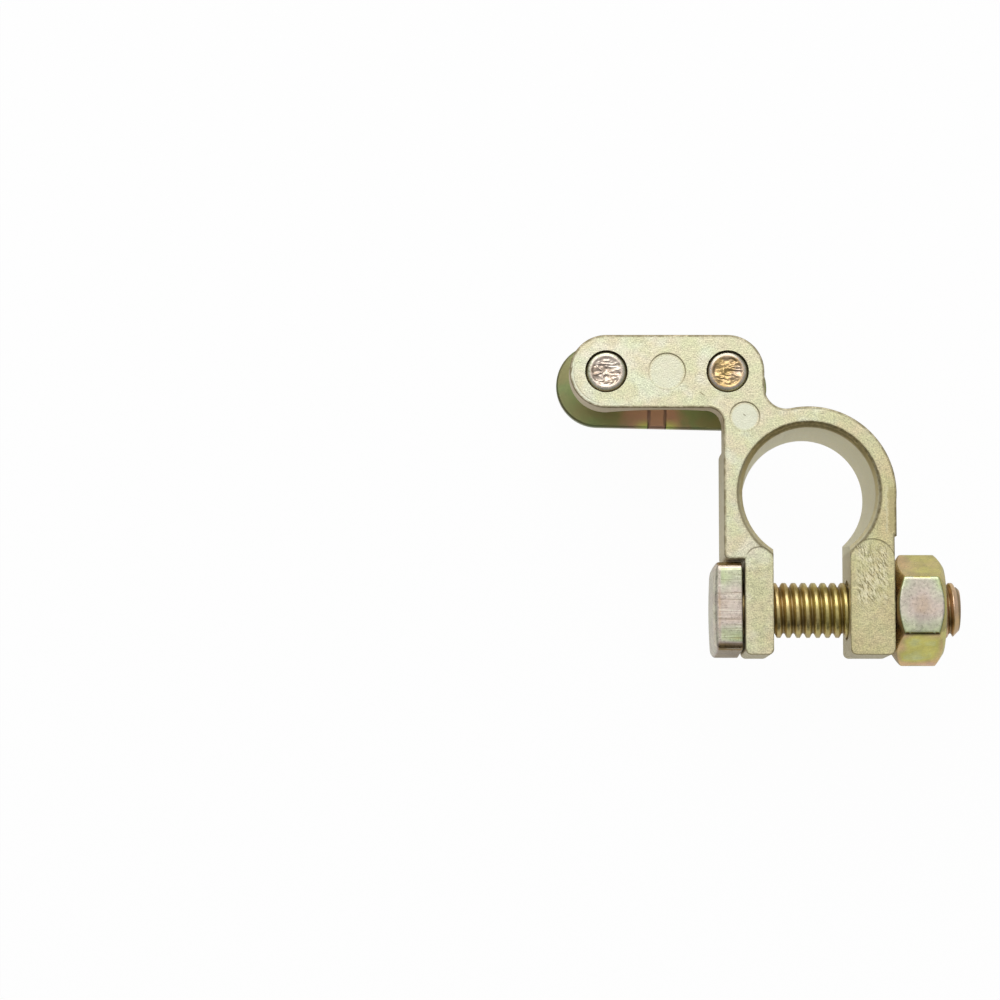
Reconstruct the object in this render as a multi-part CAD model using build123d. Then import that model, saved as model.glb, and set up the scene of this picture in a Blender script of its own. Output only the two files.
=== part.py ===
from build123d import *
import math
import os

# Battery terminal clamp, in millimetres.
# X runs along the clamp bolt towards its nut, Y runs from the bolt towards the cable arm,
# and Z runs along the post bore towards its wide mouth, which is the battery side.
# The origin is on the bore axis at half the height of the ring.

# Casting: ring and jaws
ring_height = 13.0
ring_radius = 12.5
body_left = 12.2
jaw_below_bolt = 6.7
left_jaw_outer = 9.2
left_jaw_inner = 5.16
right_jaw_inner = 5.8
right_jaw_outer = 12.15
gate_pad_x = 12.45
gate_pad_y = -6.1
jaw_corner_radius = 0.8
shoulder_corner_radius = 0.8
recess_corner_radius = 0.3

# Casting: tapered post bore
bore_mouth_diameter = 19.15
bore_taper = 1 / 9
bore_chamfer = 0.8

# Casting: cable arm
arm_y = 17.53
arm_width = 10.55
outer_screw_x = -28.96
inner_screw_x = -11.57
arm_end_thickness = 5.6
arm_roof_thickness = 2.4
channel_radius = 13.0
arm_corner_radius = 2.2
neck_fillet_share = 0.46
lower_neck_y = 7.4
lower_neck_radius = 1.5

# Casting: edges and casting marks
near_edge_radius = 0.2
far_edge_chamfer = 0.5
pin_mark_depth = 0.2
arm_mark_diameter = 5.3
neck_mark_diameter = 4.3
neck_mark_x = -9.16
neck_mark_y = 11.0
jaw_land_depth = 0.15
jaw_land_y = -9.7

# Clamp bolt, 5/16 inch, and its heavy nut
bolt_diameter = 7.94
bolt_y = -16.4
bolt_end_x = 21.9
bolt_end_chamfer = 1.0
bolt_hole_clearance = 0.38
bolt_head_inset = 0.15
bolt_head_shoulder_gap = 0.61
bolt_head_thickness = 4.4
bolt_head_side_radius = 1.15
bolt_head_end_radius = 1.1
bolt_head_gap = 0.4
bolt_turn = -3.0
nut_flats = 14.05
nut_thickness = 7.2
nut_face_share = 0.95
nut_chamfer_angle = 40.0
nut_gap = 0.15
nut_turn = -3.0
thread_clearance = 0.05

# Cable saddle: plate and M6 screws
plate_width = 12.3
plate_end_extra = 0.75
plate_thickness = 2.0
plate_drop = 12.9
plate_skew = -1.3
plate_hole_clearance = 0.35
plate_edge_chamfer = 0.25
plate_clearance = 0.6
rib_crest_width = 1.9
rib_base_width = 2.9
rib_height = 0.5
rib_offset = -0.58
screw_diameter = 6.0
screw_end_chamfer = 0.7
screw_end_recess = 0.2
screw_head_flats = 10.0
screw_head_thickness = 4.0
screw_head_gap = 0.05
screw_head_face_share = 0.95
screw_head_chamfer_angle = 30.0
screw_turn = 27.0

# How far a cutting shape runs past the face that it cuts
overrun = 1.0
hexagon_sides = 6

# Levels and places worked out from the sizes above
near_z = ring_height / 2
far_z = -ring_height / 2
bolt_head_flats = ring_height - 2 * bolt_head_inset
shoulder_y = -bolt_y - bolt_head_flats / 2 - bolt_head_shoulder_gap
jaw_bottom = -bolt_y + jaw_below_bolt
arm_under_z = near_z - arm_end_thickness
arm_mid_x = (outer_screw_x + inner_screw_x) / 2
screw_spacing = inner_screw_x - outer_screw_x
arm_right = inner_screw_x + arm_width / 2
arm_bottom = arm_y - arm_width / 2
plate_near_z = arm_under_z - plate_drop
plate_far_z = plate_near_z - plate_thickness
plate_length = screw_spacing + 2 * plate_end_extra + plate_width


def block(x_low, x_high, y_low, y_high):
    """Flat rectangle between two corners."""
    centre = Pos((x_low + x_high) / 2, (y_low + y_high) / 2)
    return centre * Rectangle(x_high - x_low, y_high - y_low)


def corner_near(plan, x, y):
    """The corner of a flat outline that lies nearest to a point."""
    return plan.vertices().sort_by_distance((x, y, 0))[0]


def rounded_corner(plan, x, y, radius):
    """Round the outline's corner nearest to a point."""
    return fillet(corner_near(plan, x, y), radius)


def jaw_plan():
    """Ring disc, trimmed flat on the left, with both jaws and the shoulder over the bolt head."""
    far_left = -ring_radius - body_left
    disc = Circle(ring_radius) - block(far_left, -body_left, -ring_radius, ring_radius)
    left_side = block(-body_left, 0, -shoulder_y, 0)
    left_jaw = block(-left_jaw_outer, 0, -jaw_bottom, 0)
    right_jaw = block(0, right_jaw_outer, -jaw_bottom, 0)
    gate_pad = block(0, gate_pad_x, gate_pad_y, 0)
    gap = block(-left_jaw_inner, right_jaw_inner, -jaw_bottom - overrun, -left_jaw_inner)
    head_recess = block(far_left, -left_jaw_outer, -jaw_bottom, -shoulder_y)
    plan = disc + left_side + left_jaw + right_jaw + gate_pad - gap - head_recess
    for x in (-left_jaw_outer, -left_jaw_inner, right_jaw_inner, right_jaw_outer):
        plan = rounded_corner(plan, x, -jaw_bottom, jaw_corner_radius)
    plan = rounded_corner(plan, -body_left, -shoulder_y, shoulder_corner_radius)
    return rounded_corner(plan, -left_jaw_outer, -shoulder_y, recess_corner_radius)


def near_plan():
    """Outline of the casting on the battery side, with the cable arm and its neck."""
    arm = Pos(arm_mid_x, arm_y) * SlotCenterToCenter(screw_spacing, arm_width)
    neck = block(-body_left, arm_right, 0, arm_y)
    plan = jaw_plan() + arm + neck
    plan = rounded_corner(plan, -body_left, arm_bottom, arm_corner_radius)
    neck_foot_y = (ring_radius**2 - arm_right**2) ** 0.5
    neck_fillet_radius = neck_fillet_share * (arm_y - neck_foot_y)
    return rounded_corner(plan, arm_right, neck_foot_y, neck_fillet_radius)


def far_plan():
    """Outline of the casting beyond the arm, cleared for the saddle plate."""
    neck = block(-body_left, 0, 0, lower_neck_y)
    plan = jaw_plan() + neck
    plan = rounded_corner(plan, -body_left, lower_neck_y, lower_neck_radius)
    return plan - plate_plan(plate_clearance)


def plate_plan(grow):
    """Outline of the saddle plate, a slot shape, made larger all round by grow."""
    place = Pos(arm_mid_x, arm_y) * Rot(0, 0, plate_skew)
    return place * SlotOverall(plate_length + 2 * grow, plate_width + 2 * grow)


def post_bore():
    """Tapered bore with a chamfered mouth, as the solid that is cut away."""
    mouth_radius = bore_mouth_diameter / 2
    slope = bore_taper / 2
    low_radius = mouth_radius - slope * (ring_height + overrun)
    chamfer_radius = mouth_radius - slope * bore_chamfer
    face_radius = mouth_radius + bore_chamfer
    profile = Polyline(
        (0, far_z - overrun),
        (low_radius, far_z - overrun),
        (chamfer_radius, near_z - bore_chamfer),
        (face_radius, near_z),
        (face_radius + overrun, near_z + overrun),
        (0, near_z + overrun),
        close=True,
    )
    return revolve(Plane.XZ * make_face(profile), Axis.Z)


def cable_channel():
    """Arch across the arm's far side between the screws, as the solid that is cut away."""
    arch = Pos(arm_mid_x, near_z - arm_roof_thickness - channel_radius) * Circle(channel_radius)
    below_arm = block(
        arm_mid_x - channel_radius,
        arm_mid_x + channel_radius,
        arm_under_z - channel_radius,
        arm_under_z - overrun,
    )
    length = arm_width + 2 * overrun
    place = Plane((0, arm_y + length / 2, 0), x_dir=(1, 0, 0), z_dir=(0, -1, 0))
    return extrude(place * (arch - below_arm), length)


def hole_along_z(x, y, diameter, z_low, z_high):
    """Round hole along Z between two levels."""
    height = z_high - z_low
    return Pos(x, y, (z_low + z_high) / 2) * Cylinder(diameter / 2, height)


def ejector_marks():
    """Shallow round marks that the ejector pins left in the battery side."""
    marks = (
        (arm_mid_x, arm_y, arm_mark_diameter),
        (neck_mark_x, neck_mark_y, neck_mark_diameter),
    )
    return [
        hole_along_z(x, y, diameter, near_z - pin_mark_depth, near_z + overrun)
        for x, y, diameter in marks
    ]


def jaw_land(x_low, x_high):
    """Sunk face of one jaw, round at the top and as wide as the jaw, as the solid that is cut away."""
    top = Pos((x_low + x_high) / 2, jaw_land_y) * Circle((x_high - x_low) / 2)
    below = block(x_low, x_high, -jaw_bottom - overrun, jaw_land_y)
    return extrude(Pos(0, 0, near_z - jaw_land_depth) * (top + below), jaw_land_depth + overrun)


def clamp_body():
    """The casting: split ring, jaws, neck and hollowed cable arm in one piece."""
    near_part = extrude(Pos(0, 0, arm_under_z) * near_plan(), near_z - arm_under_z)
    far_part = extrude(Pos(0, 0, far_z) * far_plan(), arm_under_z - far_z)
    body = near_part + far_part
    near_edges = body.faces().sort_by(Axis.Z)[-1].edges()
    body = fillet(near_edges, near_edge_radius)
    far_edges = body.faces().sort_by(Axis.Z)[0].edges()
    body = chamfer(far_edges, far_edge_chamfer)
    body -= post_bore()
    body -= cable_channel()
    hole_diameter = bolt_diameter + 2 * bolt_hole_clearance
    jaws_middle_x = (right_jaw_outer - left_jaw_outer) / 2
    jaws_length = right_jaw_outer + left_jaw_outer + 2 * overrun
    body -= Pos(jaws_middle_x, bolt_y, 0) * Rot(0, 90, 0) * Cylinder(hole_diameter / 2, jaws_length)
    tapped_diameter = screw_diameter + 2 * thread_clearance
    for x in (outer_screw_x, inner_screw_x):
        body -= hole_along_z(x, arm_y, tapped_diameter, far_z - overrun, near_z + overrun)
    for mark in ejector_marks():
        body -= mark
    body -= jaw_land(-left_jaw_outer, -left_jaw_inner)
    body -= jaw_land(right_jaw_inner, right_jaw_outer)
    return body


def hexagon_prism(flats, thickness, face_share, chamfer_angle, chamfer_top):
    """Hexagon from z = 0 up, its corners turned off at the bottom and, if asked, at the top."""
    half_side_angle = 180 / hexagon_sides
    outline = RegularPolygon(flats / 2, hexagon_sides, major_radius=False, rotation=half_side_angle)
    corner_radius = outline.radius
    face_radius = face_share * flats / 2
    rise = (corner_radius - face_radius) * math.tan(math.radians(chamfer_angle))
    points = [(0, 0), (face_radius, 0), (corner_radius, rise)]
    if chamfer_top:
        points += [(corner_radius, thickness - rise), (face_radius, thickness), (0, thickness)]
    else:
        points += [(corner_radius, thickness), (0, thickness)]
    turned = revolve(Plane.XZ * make_face(Polyline(*points, close=True)), Axis.Z)
    return extrude(outline, thickness) & turned


def threaded_shank(diameter, length, end_chamfer):
    """Shank from z = 0 up to its chamfered end, at the thread's outer diameter."""
    radius = diameter / 2
    points = [
        (0, 0),
        (radius, 0),
        (radius, length - end_chamfer),
        (radius - end_chamfer, length),
        (0, length),
    ]
    return revolve(Plane.XZ * make_face(Polyline(*points, close=True)), Axis.Z)


def clamp_bolt():
    """Square-headed bolt that draws the jaws together."""
    bearing_x = -left_jaw_outer - bolt_head_gap
    outline = RectangleRounded(bolt_head_flats, bolt_head_flats, bolt_head_side_radius)
    head = extrude(outline, -bolt_head_thickness)
    head = fillet(head.faces().sort_by(Axis.Z)[0].edges(), bolt_head_end_radius)
    shank = threaded_shank(bolt_diameter, bolt_end_x - bearing_x, bolt_end_chamfer)
    return Pos(bearing_x, bolt_y, 0) * Rot(bolt_turn, 0, 0) * Rot(0, 90, 0) * (head + shank)


def clamp_nut():
    """Heavy hexagon nut against the right jaw."""
    nut = hexagon_prism(nut_flats, nut_thickness, nut_face_share, nut_chamfer_angle, True)
    nut -= hole_along_z(0, 0, bolt_diameter + 2 * thread_clearance, -overrun, nut_thickness + overrun)
    return Pos(right_jaw_outer + nut_gap, bolt_y, 0) * Rot(nut_turn, 0, 0) * Rot(0, 90, 0) * nut


def saddle_plate():
    """Pressed plate under the cable, with a cross rib that bites the strands."""
    plate = extrude(Pos(0, 0, plate_far_z) * plate_plan(0), plate_thickness)
    rims = plate.faces().filter_by(Axis.Z).edges()
    plate = chamfer(rims, plate_edge_chamfer)
    plate += pressed_rib(plate_near_z)
    plate -= pressed_rib(plate_far_z)
    for x in (outer_screw_x, inner_screw_x):
        hole_diameter = screw_diameter + 2 * plate_hole_clearance
        plate -= hole_along_z(x, arm_y, hole_diameter, plate_far_z - overrun, plate_near_z + overrun)
    return plate


def pressed_rib(z):
    """Trapezoid rib across the plate, raised from level z towards the cable."""
    half_base = rib_base_width / 2
    half_crest = rib_crest_width / 2
    points = [(-half_base, 0), (half_base, 0), (half_crest, rib_height), (-half_crest, rib_height)]
    section = make_face(Polyline(*points, close=True))
    length = plate_width - 2 * plate_edge_chamfer
    rib = extrude(Plane((0, length / 2, 0), x_dir=(1, 0, 0), z_dir=(0, -1, 0)) * section, length)
    return Pos(arm_mid_x, arm_y, z) * Rot(0, 0, plate_skew) * Pos(rib_offset, 0) * rib


def saddle_screw(x):
    """Hexagon-headed M6 screw that draws the plate towards the arm."""
    seat_z = plate_far_z - screw_head_gap
    head = hexagon_prism(
        screw_head_flats, screw_head_thickness, screw_head_face_share, screw_head_chamfer_angle, False
    )
    head = Pos(0, 0, -screw_head_thickness) * head
    shank = threaded_shank(screw_diameter, near_z - screw_end_recess - seat_z, screw_end_chamfer)
    return Pos(x, arm_y, seat_z) * Rot(0, 0, screw_turn) * (head + shank)


os.makedirs("parts", exist_ok=True)
pieces = {
    "clamp_body": clamp_body(),
    "clamp_bolt": clamp_bolt(),
    "clamp_nut": clamp_nut(),
    "saddle_plate": saddle_plate(),
    "saddle_screw_outer": saddle_screw(outer_screw_x),
    "saddle_screw_inner": saddle_screw(inner_screw_x),
}
for name, shape in pieces.items():
    export_step(shape, f"parts/{name}.step")
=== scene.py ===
"""Looks of a cast battery terminal clamp: sandy casting, threaded bolt and nut, and a screwed cable saddle."""

import logging
import math
from dataclasses import dataclass
from enum import Enum

import bmesh
import bpy
import numpy as np
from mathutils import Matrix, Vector


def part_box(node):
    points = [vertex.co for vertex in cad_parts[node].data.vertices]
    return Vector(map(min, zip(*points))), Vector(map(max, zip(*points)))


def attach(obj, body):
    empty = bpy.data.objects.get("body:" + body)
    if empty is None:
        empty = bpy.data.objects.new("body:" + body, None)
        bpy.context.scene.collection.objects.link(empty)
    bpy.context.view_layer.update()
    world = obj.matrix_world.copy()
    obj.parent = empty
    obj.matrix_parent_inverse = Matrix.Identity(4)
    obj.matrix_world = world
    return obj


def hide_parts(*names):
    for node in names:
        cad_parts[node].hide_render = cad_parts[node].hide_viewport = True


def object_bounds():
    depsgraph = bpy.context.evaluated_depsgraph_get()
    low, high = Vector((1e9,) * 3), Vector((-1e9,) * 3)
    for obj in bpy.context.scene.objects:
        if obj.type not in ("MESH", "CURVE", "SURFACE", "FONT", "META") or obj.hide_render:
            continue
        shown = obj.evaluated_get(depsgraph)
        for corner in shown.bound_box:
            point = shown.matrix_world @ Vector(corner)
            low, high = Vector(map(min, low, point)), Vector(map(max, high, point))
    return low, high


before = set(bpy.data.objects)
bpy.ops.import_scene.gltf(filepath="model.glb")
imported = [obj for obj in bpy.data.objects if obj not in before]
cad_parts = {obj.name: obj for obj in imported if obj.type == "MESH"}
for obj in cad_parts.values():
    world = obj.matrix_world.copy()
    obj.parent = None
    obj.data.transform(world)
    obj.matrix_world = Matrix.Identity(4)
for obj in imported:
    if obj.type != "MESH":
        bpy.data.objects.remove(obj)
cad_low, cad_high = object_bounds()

log = logging.getLogger("battery_clamp")

MM = 0.001
FULL_TURN = 2 * math.pi
QUARTER_TURN = math.pi / 2
TINY = 1e-18
WELD_DISTANCE = MM / 1000
CUT_SLACK = MM / 5000
SHORTEST_EDGE = MM / 200
NORMAL_STEPS = 1000
OFFSET_STEP = MM / 100
SEAT_SLACK = MM / 20
LEAST_RADIUS = MM / 20
BATCH = 256
NOISE_SPAN = (0.3, 0.7)
WHITE = (1.0, 1.0, 1.0, 1.0)

Colour = tuple[float, float, float]
Span = tuple[float, float]
Socket = bpy.types.NodeSocket


class Noise:
    """Smooth noise on a seeded lattice of random values, the same on every run."""

    def __init__(self, seed: int, period: int = 32) -> None:
        """Fill the lattice.

        Args:
            seed: Seed of the random values.
            period: Lattice cells after which the values repeat.
        """
        self.period = period
        self.values = np.random.default_rng(seed).uniform(-1.0, 1.0, (period,) * 3)

    def at(self, points: np.ndarray, size: float) -> np.ndarray:
        """Blend the eight lattice values round each point by a smooth step along each axis.

        Args:
            points: Places in metres, shape (..., 3).
            size: Size of a lattice cell in metres.

        Returns:
            Values from -1 to 1, shape (...).
        """
        scaled = points / size
        cell = np.floor(scaled).astype(int)
        part = scaled - cell
        part = part * part * (3 - 2 * part)
        total = np.zeros(points.shape[:-1])
        for corner in np.ndindex(2, 2, 2):
            index = (cell + corner) % self.period
            weight = np.prod(np.where(corner, part, 1 - part), axis=-1)
            total += weight * self.values[index[..., 0], index[..., 1], index[..., 2]]
        return total

    def layered(self, points: np.ndarray, size: float, layers: int = 3) -> np.ndarray:
        """Add layers of noise, each half as large and half as strong as the one before.

        Args:
            points: Places in metres, shape (..., 3).
            size: Cell size of the first layer in metres.
            layers: Number of layers.

        Returns:
            Values from about -1 to 1, shape (...).
        """
        return sum(self.at(points, size / 2**k) / 2**k for k in range(layers))


def smooth_step(value: np.ndarray, low: float, high: float) -> np.ndarray:
    """Rise from 0 at low to 1 at high along a cubic with level ends.

    Args:
        value: Values to ease.
        low: Value that gives 0.
        high: Value that gives 1.

    Returns:
        Shares from 0 to 1, shaped like value.
    """
    share = np.clip((value - low) / (high - low), 0.0, 1.0)
    return share * share * (3 - 2 * share)


def rounded_polygon(angle: np.ndarray, sides: int, inradius: float, corner: float) -> np.ndarray:
    """Distance from the centre to a regular polygon with rounded corners, in each direction.

    On a flat the distance is the inradius over the cosine of the angle from the flat's middle. On a
    corner it is where the ray meets the corner's circle.

    Args:
        angle: Directions in radians, with the middle of one flat at 0.
        sides: Number of flats.
        inradius: Distance from the centre to a flat.
        corner: Radius of the rounded corners.

    Returns:
        Distances, shaped like angle.
    """
    half = math.pi / sides
    from_flat = (angle + half) % (2 * half) - half
    from_corner = half - np.abs(from_flat)
    reach = (inradius - corner) / math.cos(half)
    inside = np.maximum(corner**2 - (reach * np.sin(from_corner)) ** 2, 0.0)
    on_corner = reach * np.cos(from_corner) + np.sqrt(inside)
    flat_end = math.atan2((inradius - corner) * math.tan(half), inradius)
    return np.where(np.abs(from_flat) <= flat_end, inradius / np.cos(from_flat), on_corner)


def soft_least(exponent: float, *lengths: np.ndarray) -> np.ndarray:
    """Least of several lengths with the creases between them rounded, as a negative power sum."""
    return sum(length**-exponent for length in lengths) ** (-1 / exponent)


def turned_hexagon(angle: np.ndarray, flats: float, corner: float, exponent: float,
                   *cones: np.ndarray) -> np.ndarray:
    """Distance from the axis to a hexagon whose corners are turned off by cones.

    It is the least of the hexagon's distance and each cone's radius, with soft edges between them.

    Args:
        angle: Directions in radians, with the middle of one flat at 0.
        flats: Distance across the flats.
        corner: Radius of the hexagon's rounded corners.
        exponent: Sharpness of the edges between flats and cones.
        *cones: Radius of each cone, as a column with one value for each row.

    Returns:
        Distances, shape (rows, columns).
    """
    return soft_least(exponent, rounded_polygon(angle, 6, flats / 2, corner), *cones)


class Along(Enum):
    """Axis that a turned piece lies along."""

    X = "x"
    Z = "z"

    def place(self, origin: Vector, along: np.ndarray, radius: np.ndarray, angle: np.ndarray) -> np.ndarray:
        """Points at a distance along the axis and a radius and angle round it.

        Args:
            origin: Point that the axis runs through.
            along: Coordinate along the axis, shape (rows, 1) or (rows, columns).
            radius: Distance from the axis, shape (rows, columns).
            angle: Direction round the axis by the right-hand rule, shape (columns,).

        Returns:
            Points, shape (rows, columns, 3).
        """
        first = radius * np.cos(angle)
        second = radius * np.sin(angle)
        along = np.broadcast_to(along, radius.shape)
        if self is Along.X:
            return np.stack([along, origin.y + first, origin.z + second], axis=-1)
        return np.stack([origin.x + first, origin.y + second, along], axis=-1)


@dataclass(frozen=True)
class Thread:
    """Right-hand screw thread with softened crests and roots."""

    pitch: float
    outer_radius: float
    depth: float
    phase: float = 0.0
    root_share: float = 0.12
    crest_share: float = 0.16

    def height(self, along: np.ndarray, angle: np.ndarray) -> np.ndarray:
        """Height over the root as a share of the depth.

        A triangle wave runs once a pitch and shifts by one pitch a turn. Its ends are cut flat and its
        flanks follow a cosine part of the way, which rounds the crest and the root.

        Args:
            along: Coordinate along the axis.
            angle: Direction round the axis.

        Returns:
            Shares from 0 at the root to 1 at the crest.
        """
        turn = ((along - self.phase) / self.pitch - angle / FULL_TURN) % 1.0
        wave = np.abs(2 * turn - 1)
        flank = np.clip((wave - self.root_share) / (1 - self.root_share - self.crest_share), 0, 1)
        rounded = 0.5 - 0.5 * np.cos(math.pi * flank)
        return 0.5 * flank + 0.5 * rounded

    def radius(self, along: np.ndarray, angle: np.ndarray) -> np.ndarray:
        """Radius of the thread's surface at each place."""
        return self.outer_radius - self.depth * (1 - self.height(along, angle))


@dataclass
class Rows:
    """Stretch of a turned surface: rows of radii at places along the axis, with the finish they take."""

    along: np.ndarray
    radius: np.ndarray
    finish: int = 0
    # Share of painted groove shade, for each row and column.
    groove_shade: np.ndarray | None = None

    def filled(self) -> "Rows":
        """The same rows with along and groove spread to the full grid."""
        along = np.broadcast_to(self.along, self.radius.shape)
        groove_shade = np.zeros(self.radius.shape) if self.groove_shade is None else self.groove_shade
        return Rows(along, self.radius, self.finish, groove_shade)


def column(values: np.ndarray | list[float]) -> np.ndarray:
    """Values as a column, one for each row of a grid."""
    return np.asarray(values, float)[:, None]


def directions(count: int) -> np.ndarray:
    """Even directions over one full turn, in radians."""
    return np.linspace(0, FULL_TURN, count, endpoint=False)


def link_mesh(name: str, points: np.ndarray, faces: list[tuple[int, ...]]) -> bpy.types.Object:
    """New object at the origin from points and faces, smooth shaded.

    Args:
        name: Name of the object and its mesh.
        points: Vertices in metres, shape (count, 3).
        faces: Vertex numbers of each face, anticlockwise from outside.

    Returns:
        The linked object.
    """
    mesh = bpy.data.meshes.new(name)
    mesh.from_pydata(points.tolist(), [], faces)
    return link_smooth(name, mesh)


def link_smooth(name: str, mesh: bpy.types.Mesh) -> bpy.types.Object:
    """New object at the origin for a mesh, smooth shaded.

    Args:
        name: Name of the object.
        mesh: Mesh in metres.

    Returns:
        The linked object.
    """
    mesh.polygons.foreach_set("use_smooth", np.ones(len(mesh.polygons), bool))
    mesh.update()
    made = bpy.data.objects.new(name, mesh)
    bpy.context.scene.collection.objects.link(made)
    return made


def put_attribute(made: bpy.types.Object, name: str, values: np.ndarray) -> None:
    """Store one number for each vertex under a name that materials read."""
    layer = made.data.attributes.new(name, "FLOAT", "POINT")
    layer.data.foreach_set("value", np.ascontiguousarray(values, np.float32).ravel())


def turned_piece(name: str, axis: Along, origin: Vector, angle: np.ndarray, parts: list[Rows],
                 looped: bool, crumple: np.ndarray | None = None) -> bpy.types.Object:
    """Closed surface of rows round an axis.

    Neighbouring rows are joined by quads all the way round. Where the rows don't loop, the first and the
    last are closed by a fan to a point on the axis.

    Args:
        name: Name of the object.
        axis: Direction of the axis.
        origin: Point that the axis runs through.
        angle: Directions of the columns, one full turn.
        parts: Stretches of rows, in order.
        looped: Whether the last row joins the first, as on a piece with a bore.
        crumple: Shift along the axis for each row and column, or None.

    Returns:
        The object, with the attribute groove_shade, the painted shade of the thread's roots, and one material number
        for each face.
    """
    filled = [part.filled() for part in parts]
    along = np.concatenate([part.along for part in filled])
    radius = np.concatenate([part.radius for part in filled])
    groove_shade = np.concatenate([part.groove_shade for part in filled])
    finish = np.concatenate([np.full(len(part.radius), part.finish) for part in filled])
    if crumple is not None:
        along = along + crumple
    grid = axis.place(origin, along, radius, angle)
    rows, columns = radius.shape
    points = grid.reshape(-1, 3)
    number = np.arange(rows * columns).reshape(rows, columns)
    after = np.roll(number, -1, axis=1)
    first, last = (number, after), (np.roll(number, -1, axis=0), np.roll(after, -1, axis=0))
    quads = np.stack([first[0], first[1], last[1], last[0]], axis=-1)
    quads = quads if looped else quads[:-1]
    face_finish = np.repeat(finish if looped else finish[:-1], columns)
    faces = [tuple(face) for face in quads.reshape(-1, 4).tolist()]
    groove_shade = groove_shade.ravel()
    if not looped:
        ends = grid[[0, -1]].mean(axis=1)
        start, end = len(points), len(points) + 1
        points = np.concatenate([points, ends])
        groove_shade = np.concatenate([groove_shade, [0.0, 0.0]])
        faces += [(start, b, a) for a, b in zip(number[0].tolist(), after[0].tolist())]
        faces += [(end, a, b) for a, b in zip(number[-1].tolist(), after[-1].tolist())]
        face_finish = np.concatenate([face_finish, np.full(columns, finish[0]), np.full(columns, finish[-1])])
    corners = points[np.array([face[:3] for face in faces])]
    volume = np.einsum("ij,ij->i", corners[:, 0], np.cross(corners[:, 1], corners[:, 2])).sum()
    if volume < 0:
        faces = [face[::-1] for face in faces]
    made = link_mesh(name, points, faces)
    made.data.polygons.foreach_set("material_index", face_finish.astype(np.int32))
    put_attribute(made, "groove_shade", groove_shade)
    return made


def refined_copy(node: str, name: str, step: float, crease: float) -> bpy.types.Object:
    """Copy of a CAD node, welded and cut along even planes so that its faces are small.

    Args:
        node: Name of the CAD node.
        name: Name of the new object.
        step: Distance between the cutting planes in metres.
        crease: Angle in radians from which an edge is shaded as a crease.

    Returns:
        The new object, shaded smooth between its creases.
    """
    low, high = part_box(node)
    cut = bmesh.new()
    cut.from_mesh(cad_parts[node].data)
    bmesh.ops.remove_doubles(cut, verts=cut.verts, dist=WELD_DISTANCE)
    for axis in range(3):
        across = Vector([float(axis == other) for other in range(3)])
        for level in np.arange(low[axis] + step / 2, high[axis], step):
            everything = cut.verts[:] + cut.edges[:] + cut.faces[:]
            bmesh.ops.bisect_plane(cut, geom=everything, dist=CUT_SLACK, plane_co=across * float(level),
                                   plane_no=across)
    bmesh.ops.dissolve_degenerate(cut, dist=SHORTEST_EDGE, edges=cut.edges[:])
    bmesh.ops.triangulate(cut, faces=cut.faces[:])
    mesh = bpy.data.meshes.new(name)
    cut.to_mesh(mesh)
    cut.free()
    made = link_smooth(name, mesh)
    shade_by_planes(made, crease)
    return made


def shade_by_planes(made: bpy.types.Object, crease: float) -> None:
    """Give a triangle mesh normals in which a large flat face outweighs the small facets beside it.

    At each corner of a triangle the normal is the mean over the triangles round that vertex that lean
    less than the crease from this one. Each counts by its angle at the vertex times the area of the
    whole plane that it lies in, so flats stay flat up to their rounded edges.

    Args:
        made: The object.
        crease: Angle in radians from which an edge is shaded as a crease.
    """
    mesh = made.data
    count = len(mesh.polygons)
    corners = np.empty(3 * count, np.int32)
    mesh.loops.foreach_get("vertex_index", corners)
    normals = np.empty(3 * count, np.float32)
    mesh.polygons.foreach_get("normal", normals)
    normals = normals.reshape(-1, 3).astype(float)
    area = np.empty(count, np.float32)
    mesh.polygons.foreach_get("area", area)
    triangles = read_points(made)[corners.reshape(-1, 3)]
    offset = np.einsum("ij,ij->i", normals, triangles[:, 0])
    plane_key = np.round(np.column_stack([normals * NORMAL_STEPS, offset / OFFSET_STEP])).astype(int)
    plane = np.unique(plane_key, axis=0, return_inverse=True)[1].ravel()
    ahead = np.roll(triangles, -1, axis=1) - triangles
    behind = np.roll(triangles, 1, axis=1) - triangles
    lengths = np.linalg.norm(ahead, axis=2) * np.linalg.norm(behind, axis=2)
    cosine = np.einsum("ijk,ijk->ij", ahead, behind) / np.maximum(lengths, TINY)
    opening = np.arccos(np.clip(cosine, -1, 1))
    weight = (np.bincount(plane, area)[plane][:, None] * opening).ravel()
    face = np.repeat(np.arange(count), 3)
    order = np.argsort(corners, kind="stable")
    degree = np.bincount(corners)
    start = np.cumsum(degree) - degree
    around = degree[corners]
    first = np.repeat(np.arange(3 * count), around)
    step_on = np.arange(len(first)) - np.repeat(np.cumsum(around) - around, around)
    second = order[start[corners[first]] + step_on]
    alike = np.einsum("ij,ij->i", normals[face[first]], normals[face[second]]) > math.cos(crease)
    first, second = first[alike], second[alike]
    share = weight[second, None] * normals[face[second]]
    mean = np.stack([np.bincount(first, share[:, axis], 3 * count) for axis in range(3)], axis=1)
    mean /= np.maximum(np.linalg.norm(mean, axis=1, keepdims=True), TINY)
    mesh.normals_split_custom_set(mean.tolist())


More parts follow.
